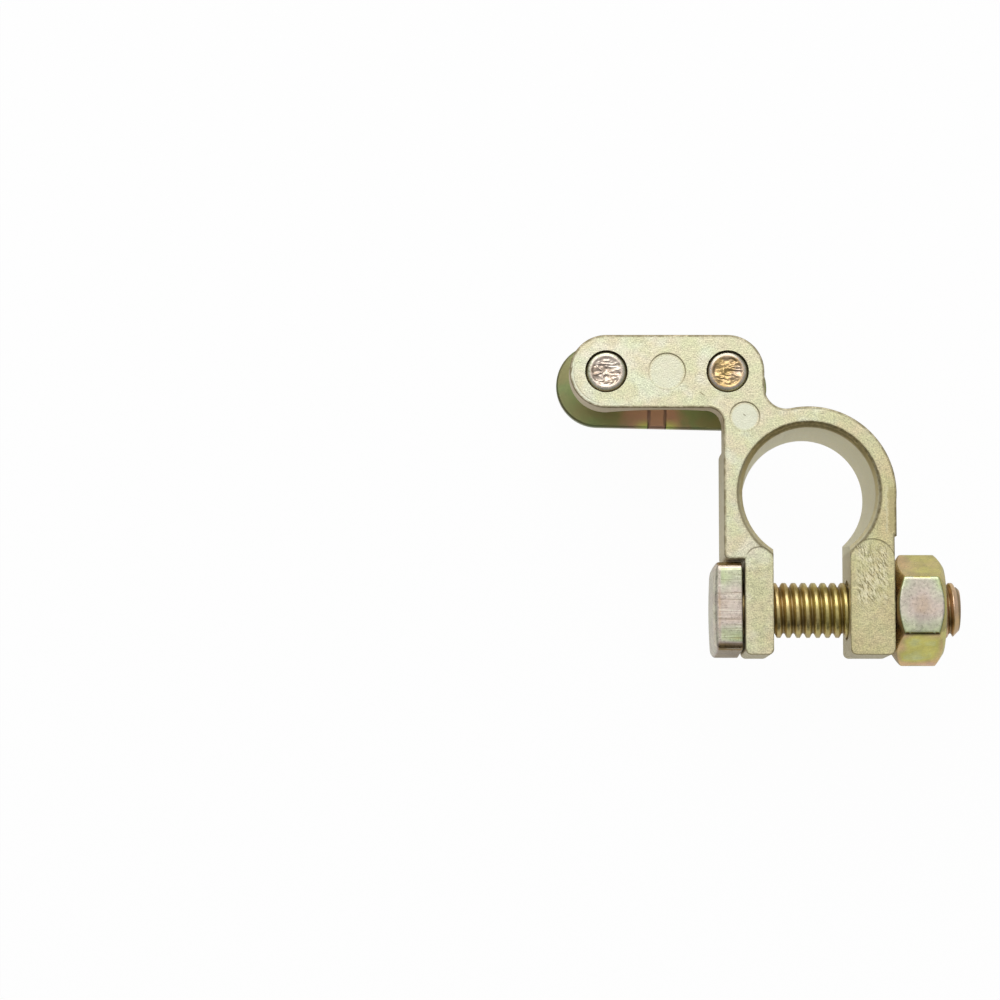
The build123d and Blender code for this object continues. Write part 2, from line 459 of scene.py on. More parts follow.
def segment_distance(points: np.ndarray, starts: np.ndarray, ends: np.ndarray) -> np.ndarray:
    """Distance from each point to the nearest of several segments, worked out in batches of points.

    Args:
        points: Places, shape (count, 3).
        starts: First ends of the segments, shape (segments, 3).
        ends: Second ends of the segments, shape (segments, 3).

    Returns:
        Distances, shape (count,).
    """
    run = ends - starts
    square = np.maximum(np.einsum("ij,ij->i", run, run), TINY)
    nearest = np.empty(len(points))
    for first in range(0, len(points), BATCH):
        away = points[first:first + BATCH, None, :] - starts
        share = np.clip(np.einsum("ijk,jk->ij", away, run) / square, 0.0, 1.0)
        away = away - share[..., None] * run
        nearest[first:first + BATCH] = np.sqrt(np.einsum("ijk,ijk->ij", away, away).min(axis=1))
    return nearest


def read_points(made: bpy.types.Object) -> np.ndarray:
    """Vertices of an object in metres.

    Args:
        made: The object.

    Returns:
        Places, shape (count, 3).
    """
    flat = np.empty(3 * len(made.data.vertices), np.float32)
    made.data.vertices.foreach_get("co", flat)
    return flat.reshape(-1, 3).astype(float)


@dataclass
class Graph:
    """Node tree under construction."""

    tree: bpy.types.NodeTree

    def add(self, kind: str, inputs: dict[str | int, object] | None = None, **settings: object) -> bpy.types.Node:
        """New node with its settings and inputs.

        Args:
            kind: Node type without the leading ShaderNode.
            inputs: Values or sockets for the node's inputs, by name or number.
            **settings: Properties of the node.

        Returns:
            The node.
        """
        made = self.tree.nodes.new("ShaderNode" + kind)
        for name, value in settings.items():
            setattr(made, name, value)
        self.feed(made, inputs or {})
        return made

    def feed(self, node: bpy.types.Node, inputs: dict[str | int, object]) -> None:
        """Set or link a node's inputs.

        Args:
            node: The node.
            inputs: Values or sockets by the input's name or number.
        """
        for key, value in inputs.items():
            if isinstance(value, Socket):
                self.tree.links.new(value, node.inputs[key])
            else:
                node.inputs[key].default_value = value

    def place(self) -> Socket:
        """Object coordinates in millimetres."""
        metres = self.add("TexCoord").outputs["Object"]
        return self.add("VectorMath", {0: metres, "Scale": 1 / MM}, operation="SCALE").outputs[0]

    def axes(self, vector: Socket) -> tuple[Socket, Socket, Socket]:
        """The three coordinates of a vector."""
        return tuple(self.add("SeparateXYZ", {0: vector}).outputs)

    def attribute(self, name: str) -> Socket:
        """Number stored on the mesh under a name."""
        return self.add("Attribute", attribute_name=name).outputs["Fac"]

    def math(self, operation: str, first: object, second: object = 0.0) -> Socket:
        """Result of one sum on two values or sockets."""
        return self.add("Math", {0: first, 1: second}, operation=operation).outputs[0]

    def less(self, first: object, second: object) -> Socket:
        """First value or socket less the second."""
        return self.math("SUBTRACT", first, second)

    def without(self, share: object) -> Socket:
        """What a share leaves of 1."""
        return self.less(1.0, share)

    def centred(self, noise: object) -> Socket:
        """Noise from 0 to 1 moved to run from -0.5 to 0.5."""
        return self.less(noise, 0.5)

    def product(self, *factors: object) -> Socket:
        """Product of several values or sockets."""
        total = factors[0]
        for factor in factors[1:]:
            total = self.math("MULTIPLY", total, factor)
        return total

    def total(self, *terms: object) -> Socket:
        """Sum of several values or sockets."""
        total = terms[0]
        for term in terms[1:]:
            total = self.math("ADD", total, term)
        return total

    def stretched(self, vector: Socket, cell: Colour, turn: float = 0.0) -> Socket:
        """Coordinates turned back round Z and divided by a pattern's cell, which draws the pattern out."""
        inputs = {"Vector": vector, "Rotation": (0.0, 0.0, turn), "Scale": cell}
        return self.add("Mapping", inputs, vector_type="TEXTURE").outputs[0]

    def noise(self, vector: Socket, scale: object, detail: float = 3.0, rough: float = 0.55) -> Socket:
        """Noise value from 0 to 1."""
        inputs = {"Vector": vector, "Scale": scale, "Detail": detail, "Roughness": rough}
        return self.add("TexNoise", inputs).outputs[0]

    def span(self, value: Socket, low: float, high: float, to_low: float = 0.0, to_high: float = 1.0) -> Socket:
        """Value eased from one range to another and kept inside it."""
        inputs = {0: value, 1: low, 2: high, 3: to_low, 4: to_high}
        return self.add("MapRange", inputs, clamp=True, interpolation_type="SMOOTHSTEP").outputs[0]

    def straight(self, value: Socket, low: float, high: float) -> Socket:
        """Value mapped from a range to 0 to 1 in a straight line and kept inside it."""
        return self.add("MapRange", {0: value, 1: low, 2: high, 3: 0.0, 4: 1.0}, clamp=True).outputs[0]

    def window(self, value: Socket, rise: Span, fall: Span) -> Socket:
        """Share that rises over one range and falls over another."""
        return self.product(self.span(value, *rise), self.span(value, *fall, 1.0, 0.0))

    def streak(self, distance: Socket, width: Span, strength: float = 1.0) -> Socket:
        """Line where a distance is 0, which fades out over a range of distances to both sides."""
        return self.span(self.math("ABSOLUTE", distance), *width, strength, 0.0)

    def ramp(self, value: Socket, stops: list[tuple[float, Colour]]) -> Socket:
        """Colour along a ramp of stops.

        Args:
            value: Position along the ramp.
            stops: Position and colour of each stop.

        Returns:
            The colour.
        """
        made = self.add("ValToRGB", {0: value})
        band = made.color_ramp
        while len(band.elements) < len(stops):
            band.elements.new(0.5)
        for element, (position, colour) in zip(band.elements, stops):
            element.position = position
            element.color = (*colour, 1.0)
        return made.outputs[0]

    def mix(self, share: object, first: object, second: object, blend: str = "MIX") -> Socket:
        """Two colours mixed by a share.

        Args:
            share: Share of the second colour.
            first: First colour.
            second: Second colour.
            blend: How the second goes over the first.

        Returns:
            The mixed colour.
        """
        first, second = (value if isinstance(value, Socket) else (*value, 1.0) for value in (first, second))
        inputs = {0: share, 6: first, 7: second}
        return self.add("Mix", inputs, data_type="RGBA", blend_type=blend).outputs[2]

    def bump(self, height: Socket, distance: float, strength: float = 1.0) -> Socket:
        """Normal bent by a height that reaches so far, in metres."""
        inputs = {"Height": height, "Distance": distance, "Strength": strength}
        return self.add("Bump", inputs).outputs[0]

    def group(self, name: str, **inputs: object) -> bpy.types.Node:
        """Placed node group with its named inputs."""
        return self.add("Group", inputs, node_tree=bpy.data.node_groups[name])


class Effect:
    """Node groups that several finishes share. Their lengths are in millimetres."""

    GRAIN = "sandy_grain"
    FILM = "passivation_film"
    ROUND = "round_mark"
    STROKE = "stroke_mark"

    @staticmethod
    def start(name: str, numbers: dict[str, float]) -> tuple[Graph, dict[str, Socket]]:
        """New group with number inputs.

        Args:
            name: Name of the group.
            numbers: Default of each input by name.

        Returns:
            The group's graph and its inner input sockets by name.
        """
        tree = bpy.data.node_groups.new(name, "ShaderNodeTree")
        for key, value in numbers.items():
            tree.interface.new_socket(key, in_out="INPUT", socket_type="NodeSocketFloat").default_value = value
        entry = tree.nodes.new("NodeGroupInput")
        return Graph(tree), {key: entry.outputs[key] for key in numbers}

    @staticmethod
    def end(graph: Graph, **outputs: Socket) -> None:
        """Give the group its named outputs.

        Args:
            graph: Graph of the group.
            **outputs: Sockets by the output's name.
        """
        for key in outputs:
            kind = "NodeSocketColor" if key == "Colour" else "NodeSocketFloat"
            graph.tree.interface.new_socket(key, in_out="OUTPUT", socket_type=kind)
        leave = graph.tree.nodes.new("NodeGroupOutput")
        for key, socket in outputs.items():
            graph.tree.links.new(socket, leave.inputs[key])

    @classmethod
    def build(cls) -> None:
        """Make the groups once."""
        cls.build_grain()
        cls.build_film()
        cls.build_round()
        cls.build_stroke()

    @classmethod
    def build_grain(cls) -> None:
        """Two sizes of noise and a height made of both."""
        graph, inputs = cls.start(cls.GRAIN, {"Fine": 3.0, "Coarse": 0.7})
        place = graph.place()
        fine = graph.noise(place, inputs["Fine"], 2.0, 0.6)
        coarse = graph.noise(place, inputs["Coarse"], 3.0, 0.6)
        height = graph.total(graph.product(fine, 0.6), graph.product(coarse, 0.4))
        cls.end(graph, Height=height, Fine=fine, Coarse=coarse)

    @classmethod
    def build_film(cls) -> None:
        """Colours that a thin clear film takes with its thickness, in patches."""
        graph, inputs = cls.start(cls.FILM, {"Shift": 0.5, "Patch": 0.15, "Spread": 0.6})
        patch = graph.centred(graph.noise(graph.place(), inputs["Patch"], 3.0, 0.5))
        tone = graph.total(graph.product(patch, inputs["Spread"]), inputs["Shift"])
        cls.end(graph, Colour=graph.ramp(tone, [
            (0.00, (0.66, 0.46, 0.36)),
            (0.10, (0.63, 0.44, 0.22)),
            (0.20, (0.56, 0.45, 0.20)),
            (0.34, (0.58, 0.54, 0.16)),
            (0.47, (0.56, 0.62, 0.38)),
            (0.58, (0.63, 0.61, 0.48)),
            (0.68, (0.62, 0.53, 0.46)),
            (0.79, (0.64, 0.50, 0.38)),
            (0.90, (0.62, 0.44, 0.22)),
            (1.00, (0.56, 0.40, 0.15)),
        ]))

    @staticmethod
    def along_mark(graph: Graph, inputs: dict[str, Socket]) -> tuple[Socket, Socket]:
        """Distances along and across a mark's direction from its centre, in the XY plane.

        Args:
            graph: Graph of the group.
            inputs: The group's inputs, with X, Y and Turn among them.

        Returns:
            The two distances.
        """
        x, y, _ = graph.axes(graph.place())
        right, up = graph.less(x, inputs["X"]), graph.less(y, inputs["Y"])
        cosine, sine = (graph.math(operation, inputs["Turn"]) for operation in ("COSINE", "SINE"))
        along = graph.total(graph.product(right, cosine), graph.product(up, sine))
        return along, graph.less(graph.product(up, cosine), graph.product(right, sine))

    @classmethod
    def build_round(cls) -> None:
        """Distance outside a circle round the Z axis, and how far a place lies towards a direction, from -1 to 1."""
        graph, inputs = cls.start(cls.ROUND, {"X": 0.0, "Y": 0.0, "Radius": 1.0, "Turn": QUARTER_TURN})
        along, aside = cls.along_mark(graph, inputs)
        never_zero = 1e-6
        square = graph.total(graph.product(along, along), graph.product(aside, aside), never_zero)
        reach = graph.math("SQRT", square)
        cls.end(graph, Outside=graph.less(reach, inputs["Radius"]), Toward=graph.math("DIVIDE", along, reach))

    @classmethod
    def build_stroke(cls) -> None:
        """Short straight mark in the XY plane: 1 on it, 0 off it."""
        graph, inputs = cls.start(cls.STROKE, {"X": 0.0, "Y": 0.0, "Turn": 0.0, "Length": 1.0, "Width": 0.2})
        along, aside = cls.along_mark(graph, inputs)
        along = graph.product(graph.math("DIVIDE", along, inputs["Length"]), 2.0)
        aside = graph.product(graph.math("DIVIDE", aside, inputs["Width"]), 2.0)
        away = graph.math("SQRT", graph.total(graph.product(along, along), graph.product(aside, aside)))
        cls.end(graph, Mask=graph.span(away, 0.5, 1.0, 1.0, 0.0))


def new_material(name: str, metallic: float) -> tuple[Graph, bpy.types.Node]:
    """Material with a Principled surface.

    Args:
        name: Name of the material.
        metallic: Metallic value all over the surface.

    Returns:
        The material's graph and its Principled node.
    """
    material = bpy.data.materials.new(name)
    material.use_nodes = True
    graph = Graph(material.node_tree)
    surface = material.node_tree.nodes["Principled BSDF"]
    surface.inputs["Metallic"].default_value = metallic
    return graph, surface


@dataclass(frozen=True)
class Disc:
    """Circle on the battery side, in millimetres."""

    x: float
    y: float
    radius: float

    def mark(self, graph: Graph, turn: float = QUARTER_TURN) -> bpy.types.NodeOutputs:
        """Outputs of the circle's round mark, with its direction turned from +X."""
        return graph.group(Effect.ROUND, X=self.x, Y=self.y, Radius=self.radius, Turn=turn).outputs


@dataclass(frozen=True)
class Stroke:
    """Short scratch on the battery side, in millimetres and radians."""

    x: float
    y: float
    turn: float
    length: float
    width: float

    def mask(self, graph: Graph) -> Socket:
        """1 on the scratch, 0 off it."""
        made = graph.group(Effect.STROKE, X=self.x, Y=self.y, Turn=self.turn, Length=self.length, Width=self.width)
        return made.outputs["Mask"]


@dataclass(frozen=True)
class CastFinish:
    """Pale yellow passivated zinc casting with a sandy skin.

    Places and widths are in millimetres, a grain is in noise cells to the millimetre, and a span is the range that
    a change runs over.
    """

    name: str = "cast_zinc_skin"
    metallic: float = 0.8
    roughness: Span = (0.40, 0.55)
    bump_depth: float = 0.055 * MM
    pale: Colour = (0.755, 0.73, 0.51)
    shaded_yellow: Colour = (0.655, 0.60, 0.34)
    patch: Colour = (0.80, 0.81, 0.65)
    rosy: Colour = (1.04, 0.98, 0.995)
    leafy: Colour = (0.98, 1.01, 0.955)
    fleck: Colour = (0.92, 0.86, 0.60)
    # Dark colour of scratches and scored marks, also used for painted shade along edges and rims.
    line: Colour = (0.22, 0.18, 0.09)
    mouth: Colour = (0.72, 0.59, 0.28)
    wall: Colour = (0.72, 0.64, 0.43)
    # Walls under the arm darkened as painted shade, the bore's wall lightened as painted light.
    arm_wall_painted_shade: Colour = (0.60, 0.47, 0.29)
    bore_wall_painted_light: Colour = (0.94, 0.89, 0.66)
    scar: Colour = (0.48, 0.41, 0.20)
    fine_grain: float = 4.6
    coarse_grain: float = 1.3
    sand_contrast: float = 1.25
    mottle_contrast: float = 0.7
    # Painted light falloff across the battery side: lighter towards the arm, darker towards the nut's jaw.
    painted_falloff: Span = (-8.0, 13.0)
    painted_falloff_right: float = 0.9
    painted_falloff_down: float = 0.45
    cloud_grain: float = 0.16
    cloud_share: float = 0.9
    washed_grain: float = 0.22
    washed: Span = (0.48, 0.66)
    washed_share: float = 0.75
    washed_fade: float = 0.9
    tinge_grain: float = 0.4
    tinge: Span = (0.35, 0.65)
    near_face: Span = (5.4, 5.9)
    wall_share: float = 0.8
    arm_side: Span = (-12.5, -10.5)
    arm_foot: Span = (8.0, 10.0)
    # Painted shade along the edges, strongest at the feet of the jaws.
    rim: Span = (0.05, 0.22)
    rim_grain: Span = (0.3, 0.65)
    rim_shade_shares: Span = (0.2, 0.75)
    jaw_foot: Span = (-22.5, -20.5)
    jaw_foot_shade_share: float = 0.85
    bore: Disc = Disc(0.0, 0.0, 9.5)
    bore_inside: Span = (0.3, 0.8)
    bore_rim: Span = (0.6, 1.4)
    bore_left: Span = (0.5, 0.95)
    bore_left_fade: float = 0.6
    mouth_grain: float = 1.6
    mouth_ragged: float = 0.6
    mouth_depth: Span = (5.2, 5.7)
    mouth_inner: Span = (-0.16, 0.0)
    mouth_outer: Span = (-0.25, 0.0)
    mouth_upper: Span = (-0.2, 0.9)
    mouth_widths: Span = (0.5, 0.95)
    mouth_side: Span = (-0.5, 0.7)
    mouth_shares: Span = (0.4, 0.9)
    # Dark line of painted shade along the chamfer's upper side.
    mouth_shade_line: float = 0.3
    mouth_shade_width: Span = (0.05, 0.25)
    mouth_shade_share: float = 0.6
    mouth_shade_side: Span = (0.2, 0.9)
    arm_end: Disc = Disc(-28.96, 17.53, 4.65)
    arm_end_turn: float = 3.7
    worn_side: Span = (0.55, 0.9)
    worn_rim: Span = (0.0, 0.2)
    worn_share: float = 0.7
    worn_line_width: Span = (0.03, 0.13)
    worn_line_share: float = 0.35
    pins: tuple[Disc, ...] = (Disc(-20.265, 17.53, 2.65), Disc(-9.16, 11.0, 2.15))
    pin_turns: tuple[float, ...] = (1.0, 1.3)
    pin_floors: tuple[float, ...] = (0.6, 0.9)
    pin_rim: Span = (-0.5, -0.1)
    pin_shade_width: Span = (0.03, 0.14)
    pin_side: Span = (-0.6, 0.5)
    pin_shares: Span = (0.2, 0.75)
    lands: tuple[Disc, ...] = (Disc(-7.18, -9.7, 2.02), Disc(8.975, -9.7, 3.175))
    land_shade_lines: tuple[float, ...] = (0.6, 0.4)
    land_shade_width: Span = (0.03, 0.16)
    land_side: Span = (0.3, 0.8)
    strokes: tuple[Stroke, ...] = (
        Stroke(-15.23, 14.27, -0.7, 1.3, 0.22),
        Stroke(-9.2, 11.27, -0.7, 0.7, 0.2),
        Stroke(-34.0, 17.6, 1.3, 1.9, 0.3),
    )
    stroke_share: float = 0.7
    scar_left: float = 11.0
    scar_foot: Span = (-6.2, -5.0)
    scar_top: Span = (0.2, 1.7)
    scar_grain: float = 0.8
    scar_ragged: float = 0.9
    scar_rim: Span = (0.0, 0.5)
    scar_share: float = 0.7
    scar_edge_width: Span = (0.05, 0.2)
    scar_edge_share: float = 0.4
    scored_left: Span = (6.2, 7.2)
    scored_right: Span = (10.6, 11.6)
    scored_foot: Span = (-17.5, -14.5)
    scored_top: Span = (-7.8, -6.8)
    scored_cell: Colour = (0.2, 1.1, 2.0)
    scored_turns: tuple[float, ...] = (0.25, 0.7)
    scored_grain: float = 0.45
    scored_patches: Span = (0.35, 0.55)
    scored_dark: Span = (0.55, 0.69)
    scored_dark_share: float = 0.65
    scored_bright: Span = (0.33, 0.52)
    scored_bright_share: float = 0.85
    scored_depth: float = 0.5

    def make(self) -> bpy.types.Material:
        """Build the node tree and return the material."""
        graph, surface = new_material(self.name, self.metallic)
        place = graph.place()
        grain = graph.group(Effect.GRAIN, Fine=self.fine_grain, Coarse=self.coarse_grain).outputs
        plain = self.walls(graph, place, self.skin(graph, place, grain))
        colour = self.pin_marks(graph, plain)
        colour = self.worn_end(graph, colour)
        colour = self.scar_mark(graph, place, colour)
        colour = self.bore_mouth(graph, place, colour)
        colour = self.outline(graph, place, grain, colour)
        for stroke in self.strokes:
            colour = graph.mix(graph.product(stroke.mask(graph), self.stroke_share), colour, self.line)
        dark, bright = self.scored(graph, place)
        colour = graph.mix(graph.product(dark, self.scored_dark_share), colour, self.line)
        colour = graph.mix(graph.product(bright, self.scored_bright_share), colour, self.fleck)
        near = graph.span(graph.axes(place)[2], *self.near_face)
        height = graph.less(grain["Height"], graph.product(dark, near, self.scored_depth))
        graph.feed(surface, {
            "Base Color": graph.mix(near, plain, colour),
            "Roughness": graph.span(grain["Coarse"], *NOISE_SPAN, *self.roughness),
            "Normal": graph.bump(height, self.bump_depth),
        })
        return bpy.data.materials[self.name]

    def skin(self, graph: Graph, place: Socket, grain: bpy.types.NodeOutputs) -> Socket:
        """Pale at the arm and darker and yellower towards the nut's jaw, partly a painted light falloff and partly the
        casting's own tone, with pale patches and sandy grain.

        Args:
            graph: Graph of the material.
            place: Object coordinates in millimetres.
            grain: Outputs of the sandy grain.

        Returns:
            The colour.
        """
        x, y, _ = graph.axes(place)
        # Painted light falloff, lighter at the upper left and darker towards the lower right.
        slope = graph.less(graph.product(x, self.painted_falloff_right), graph.product(y, self.painted_falloff_down))
        painted_falloff = graph.straight(slope, *self.painted_falloff)
        cloud = graph.product(graph.centred(graph.noise(place, self.cloud_grain, 2.0, 0.5)), self.cloud_share)
        colour = graph.ramp(graph.total(painted_falloff, cloud), [(0.0, self.pale), (1.0, self.shaded_yellow)])
        washed = graph.span(graph.noise(place, self.washed_grain, 2.0, 0.5), *self.washed, 0.0, self.washed_share)
        washed = graph.product(washed, graph.without(graph.product(painted_falloff, self.washed_fade)))
        colour = graph.mix(washed, colour, self.patch)
        tones = list(zip(self.tinge, (self.rosy, self.leafy)))
        colour = graph.mix(1.0, colour, graph.ramp(graph.noise(place, self.tinge_grain, 2.0, 0.5), tones), "MULTIPLY")
        sand = graph.product(graph.centred(grain["Fine"]), self.sand_contrast)
        mottle = graph.product(graph.centred(grain["Coarse"]), self.mottle_contrast)
        return graph.mix(1.0, colour, graph.total(1.0, sand, mottle), "MULTIPLY")

    def walls(self, graph: Graph, place: Socket, colour: Socket) -> Socket:
        """Browner walls, lightened inside the bore as painted light and darkened under the arm as painted shade.

        Args:
            graph: Graph of the material.
            place: Object coordinates in millimetres.
            colour: Colour of the skin.

        Returns:
            The colour of skin and walls.
        """
        x, y, _ = graph.axes(place)
        # Painted light on the bore's wall and painted shade on the walls under the arm.
        wall = graph.mix(graph.span(self.bore.mark(graph)["Outside"], *self.bore_inside), self.bore_wall_painted_light, self.wall)
        by_arm = graph.product(graph.span(x, *self.arm_side, 1.0, 0.0), graph.span(y, *self.arm_foot))
        wall = graph.mix(by_arm, wall, self.arm_wall_painted_shade)
        return graph.mix(graph.product(graph.attribute("wall"), self.wall_share), colour, wall)

    def outline(self, graph: Graph, place: Socket, grain: bpy.types.NodeOutputs, colour: Socket) -> Socket:
        """Broken dark line along the edges, a painted shade of the rounded edges, faint on the bore's left and strong
        at the feet of the jaws.

        Args:
            graph: Graph of the material.
            place: Object coordinates in millimetres.
            grain: Outputs of the sandy grain.
            colour: Colour under these marks.

        Returns:
            The colour with these marks.
        """
        bore = self.bore.mark(graph, math.pi)
        faint = graph.product(graph.span(bore["Outside"], *self.bore_rim, 1.0, 0.0),
                              graph.span(bore["Toward"], *self.bore_left))
        # Painted shade along the rounded edges of the battery side.
        rim = graph.product(graph.span(graph.attribute("edge"), *self.rim, 1.0, 0.0),
                            graph.without(graph.product(faint, self.bore_left_fade)))
        broken = graph.span(grain["Coarse"], *self.rim_grain, *self.rim_shade_shares)
        at_foot = graph.span(graph.axes(place)[1], *self.jaw_foot, self.jaw_foot_shade_share, 0.0)
        return graph.mix(graph.product(rim, graph.math("MAXIMUM", broken, at_foot)), colour, self.line)

    def pin_marks(self, graph: Graph, colour: Socket) -> Socket:
        """Paler floors of the pin marks, and painted shade as a dark line along part of the rim of each sunk mark and
        jaw land.

        Args:
            graph: Graph of the material.
            colour: Colour under these marks.

        Returns:
            The colour with these marks.
        """
        for disc, turn, floor in zip(self.pins, self.pin_turns, self.pin_floors):
            mark = disc.mark(graph, turn)
            colour = graph.mix(graph.span(mark["Outside"], *self.pin_rim, floor, 0.0), colour, self.patch)
            # Painted shade on the side of the sunk mark whose wall is turned from the light.
            side = graph.span(mark["Toward"], *self.pin_side, *self.pin_shares)
            dark = graph.product(graph.streak(mark["Outside"], self.pin_shade_width), side)
            colour = graph.mix(dark, colour, self.line)
        for disc, strength in zip(self.lands, self.land_shade_lines):
            mark = disc.mark(graph)
            # Painted shade along the upper rim of the sunk land.
            side = graph.span(mark["Toward"], *self.land_side)
            dark = graph.product(graph.streak(mark["Outside"], self.land_shade_width, strength), side)
            colour = graph.mix(dark, colour, self.line)
        return colour

    def worn_end(self, graph: Graph, colour: Socket) -> Socket:
        """Pale worn rim round the arm's outer end, with a dark line inside it.

        Args:
            graph: Graph of the material.
            colour: Colour under these marks.

        Returns:
            The colour with these marks.
        """
        mark = self.arm_end.mark(graph, self.arm_end_turn)
        side = graph.product(graph.span(mark["Toward"], *self.worn_side), graph.without(graph.attribute("wall")))
        worn = graph.span(mark["Outside"], *self.worn_rim, 0.0, self.worn_share)
        colour = graph.mix(graph.product(side, worn), colour, self.patch)
        dark = graph.streak(mark["Outside"], self.worn_line_width, self.worn_line_share)
        return graph.mix(graph.product(side, dark), colour, self.line)

    def scar_mark(self, graph: Graph, place: Socket, colour: Socket) -> Socket:
        """Broken-off gate on the ring's side: a browner strip with a pale edge.

        Args:
            graph: Graph of the material.
            place: Object coordinates in millimetres.
            colour: Colour under these marks.

        Returns:
            The colour with these marks.
        """
        x, y, _ = graph.axes(place)
        high = graph.window(y, self.scar_foot, self.scar_top)
        ragged = graph.product(graph.centred(graph.noise(place, self.scar_grain)), self.scar_ragged)
        from_edge = graph.less(graph.total(x, ragged), self.scar_left)
        inside = graph.product(high, graph.span(from_edge, *self.scar_rim), self.scar_share)
        edge = graph.product(high, graph.streak(from_edge, self.scar_edge_width, self.scar_edge_share))
        return graph.mix(edge, graph.mix(inside, colour, self.scar), self.pale)

    def bore_mouth(self, graph: Graph, place: Socket, colour: Socket) -> Socket:
        """Brown stain on the bore's chamfer, widest and darkest along its upper side, where the stain is partly
        painted shade and a dark line along it is painted shade.

        Args:
            graph: Graph of the material.
            place: Object coordinates in millimetres.
            colour: Colour under these marks.

        Returns:
            The colour with these marks.
        """
        mark = self.bore.mark(graph)
        ragged = graph.product(graph.centred(graph.noise(place, self.mouth_grain)), self.mouth_ragged)
        outside = graph.total(mark["Outside"], ragged)
        over = graph.less(outside, graph.span(mark["Toward"], *self.mouth_upper, *self.mouth_widths))
        band = graph.product(graph.span(outside, *self.mouth_inner), graph.span(over, *self.mouth_outer, 1.0, 0.0),
                             graph.span(graph.axes(place)[2], *self.mouth_depth),
                             graph.span(mark["Toward"], *self.mouth_side, *self.mouth_shares))
        colour = graph.mix(band, colour, self.mouth)
        # Painted shade: a dark line along the chamfer's upper side.
        streak = graph.streak(graph.less(outside, self.mouth_shade_line), self.mouth_shade_width, self.mouth_shade_share)
        streak = graph.product(streak, band, graph.span(mark["Toward"], *self.mouth_shade_side))
        return graph.mix(streak, colour, self.line)

    def scored(self, graph: Graph, place: Socket) -> tuple[Socket, Socket]:
        """Dark and bright diagonal strokes over the land of the nut's jaw.

        Args:
            graph: Graph of the material.
            place: Object coordinates in millimetres.

        Returns:
            Masks of the dark and of the bright strokes.
        """
        x, y, _ = graph.axes(place)
        sheets = [graph.noise(graph.stretched(place, self.scored_cell, turn), 1.0, 1.0, 0.6)
                  for turn in self.scored_turns]
        patches = graph.span(graph.noise(place, self.scored_grain, 1.0, 0.5), *self.scored_patches, 0.5, 1.0)
        inside = graph.product(graph.window(x, self.scored_left, self.scored_right),
                               graph.window(y, self.scored_foot, self.scored_top), patches)
        dark = graph.span(graph.math("MAXIMUM", *sheets), *self.scored_dark)
        bright = graph.span(graph.math("MINIMUM", *sheets), *self.scored_bright, 1.0, 0.0)
        return graph.product(dark, inside), graph.product(bright, inside)


@dataclass(frozen=True)
class FilmFinish:
    """Bright zinc plate with an iridescent passivation film.

    The mesh gives the film's thickness as the attribute hue and its brightness as the attribute level, which paints
    light and shade on some faces; the attribute groove_shade darkens the roots of threads as painted shade.
    """

    name: str
    spread: float
    patch: float = 0.15
    roughness: float = 0.32
    rough_range: Span = (-0.06, 0.1)
    groove_shade: Colour = (0.22, 0.155, 0.07)
    shine: Colour = (0.86, 0.83, 0.70)
    fine_grain: float = 2.6
    coarse_grain: float = 0.5
    speckle: float = 0.6
    mottle: Span = (0.85, 1.08)
    grain_depth: float = 0.015 * MM
    lines: Colour | None = None
    line_depth: float = 0.02 * MM
    line_dark: Span = (0.28, 0.45)
    line_dark_share: float = 0.6
    line_bright: Span = (0.56, 0.70)
    line_bright_share: float = 0.7

    def make(self) -> bpy.types.Material:
        """Build the node tree and return the material."""
        graph, surface = new_material(self.name, 1.0)
        film = graph.group(Effect.FILM, Shift=graph.attribute("hue"), Patch=self.patch, Spread=self.spread)
        grain = graph.group(Effect.GRAIN, Fine=self.fine_grain, Coarse=self.coarse_grain).outputs
        speckle = graph.total(1.0, graph.product(graph.centred(grain["Fine"]), self.speckle))
        mottle = graph.span(grain["Coarse"], *NOISE_SPAN, *self.mottle)
        shade = graph.product(mottle, speckle, graph.attribute("level"))
        colour = graph.mix(1.0, film.outputs["Colour"], shade, "MULTIPLY")
        # Painted shade in the roots of the thread.
        colour = graph.mix(graph.attribute("groove_shade"), colour, self.groove_shade)
        height, depth = grain["Height"], self.grain_depth
        if self.lines is not None:
            height, depth = graph.noise(graph.stretched(graph.place(), self.lines), 1.0, 2.0, 0.7), self.line_depth
            colour = graph.mix(graph.span(height, *self.line_dark, self.line_dark_share, 0.0), colour, self.groove_shade)
            colour = graph.mix(graph.span(height, *self.line_bright, 0.0, self.line_bright_share), colour, self.shine)
        rough = [self.roughness + change for change in self.rough_range]
        graph.feed(surface, {
            "Base Color": colour,
            "Roughness": graph.span(grain["Fine"], *NOISE_SPAN, *rough),
            "Normal": graph.bump(height, depth),
        })
        return bpy.data.materials[self.name]


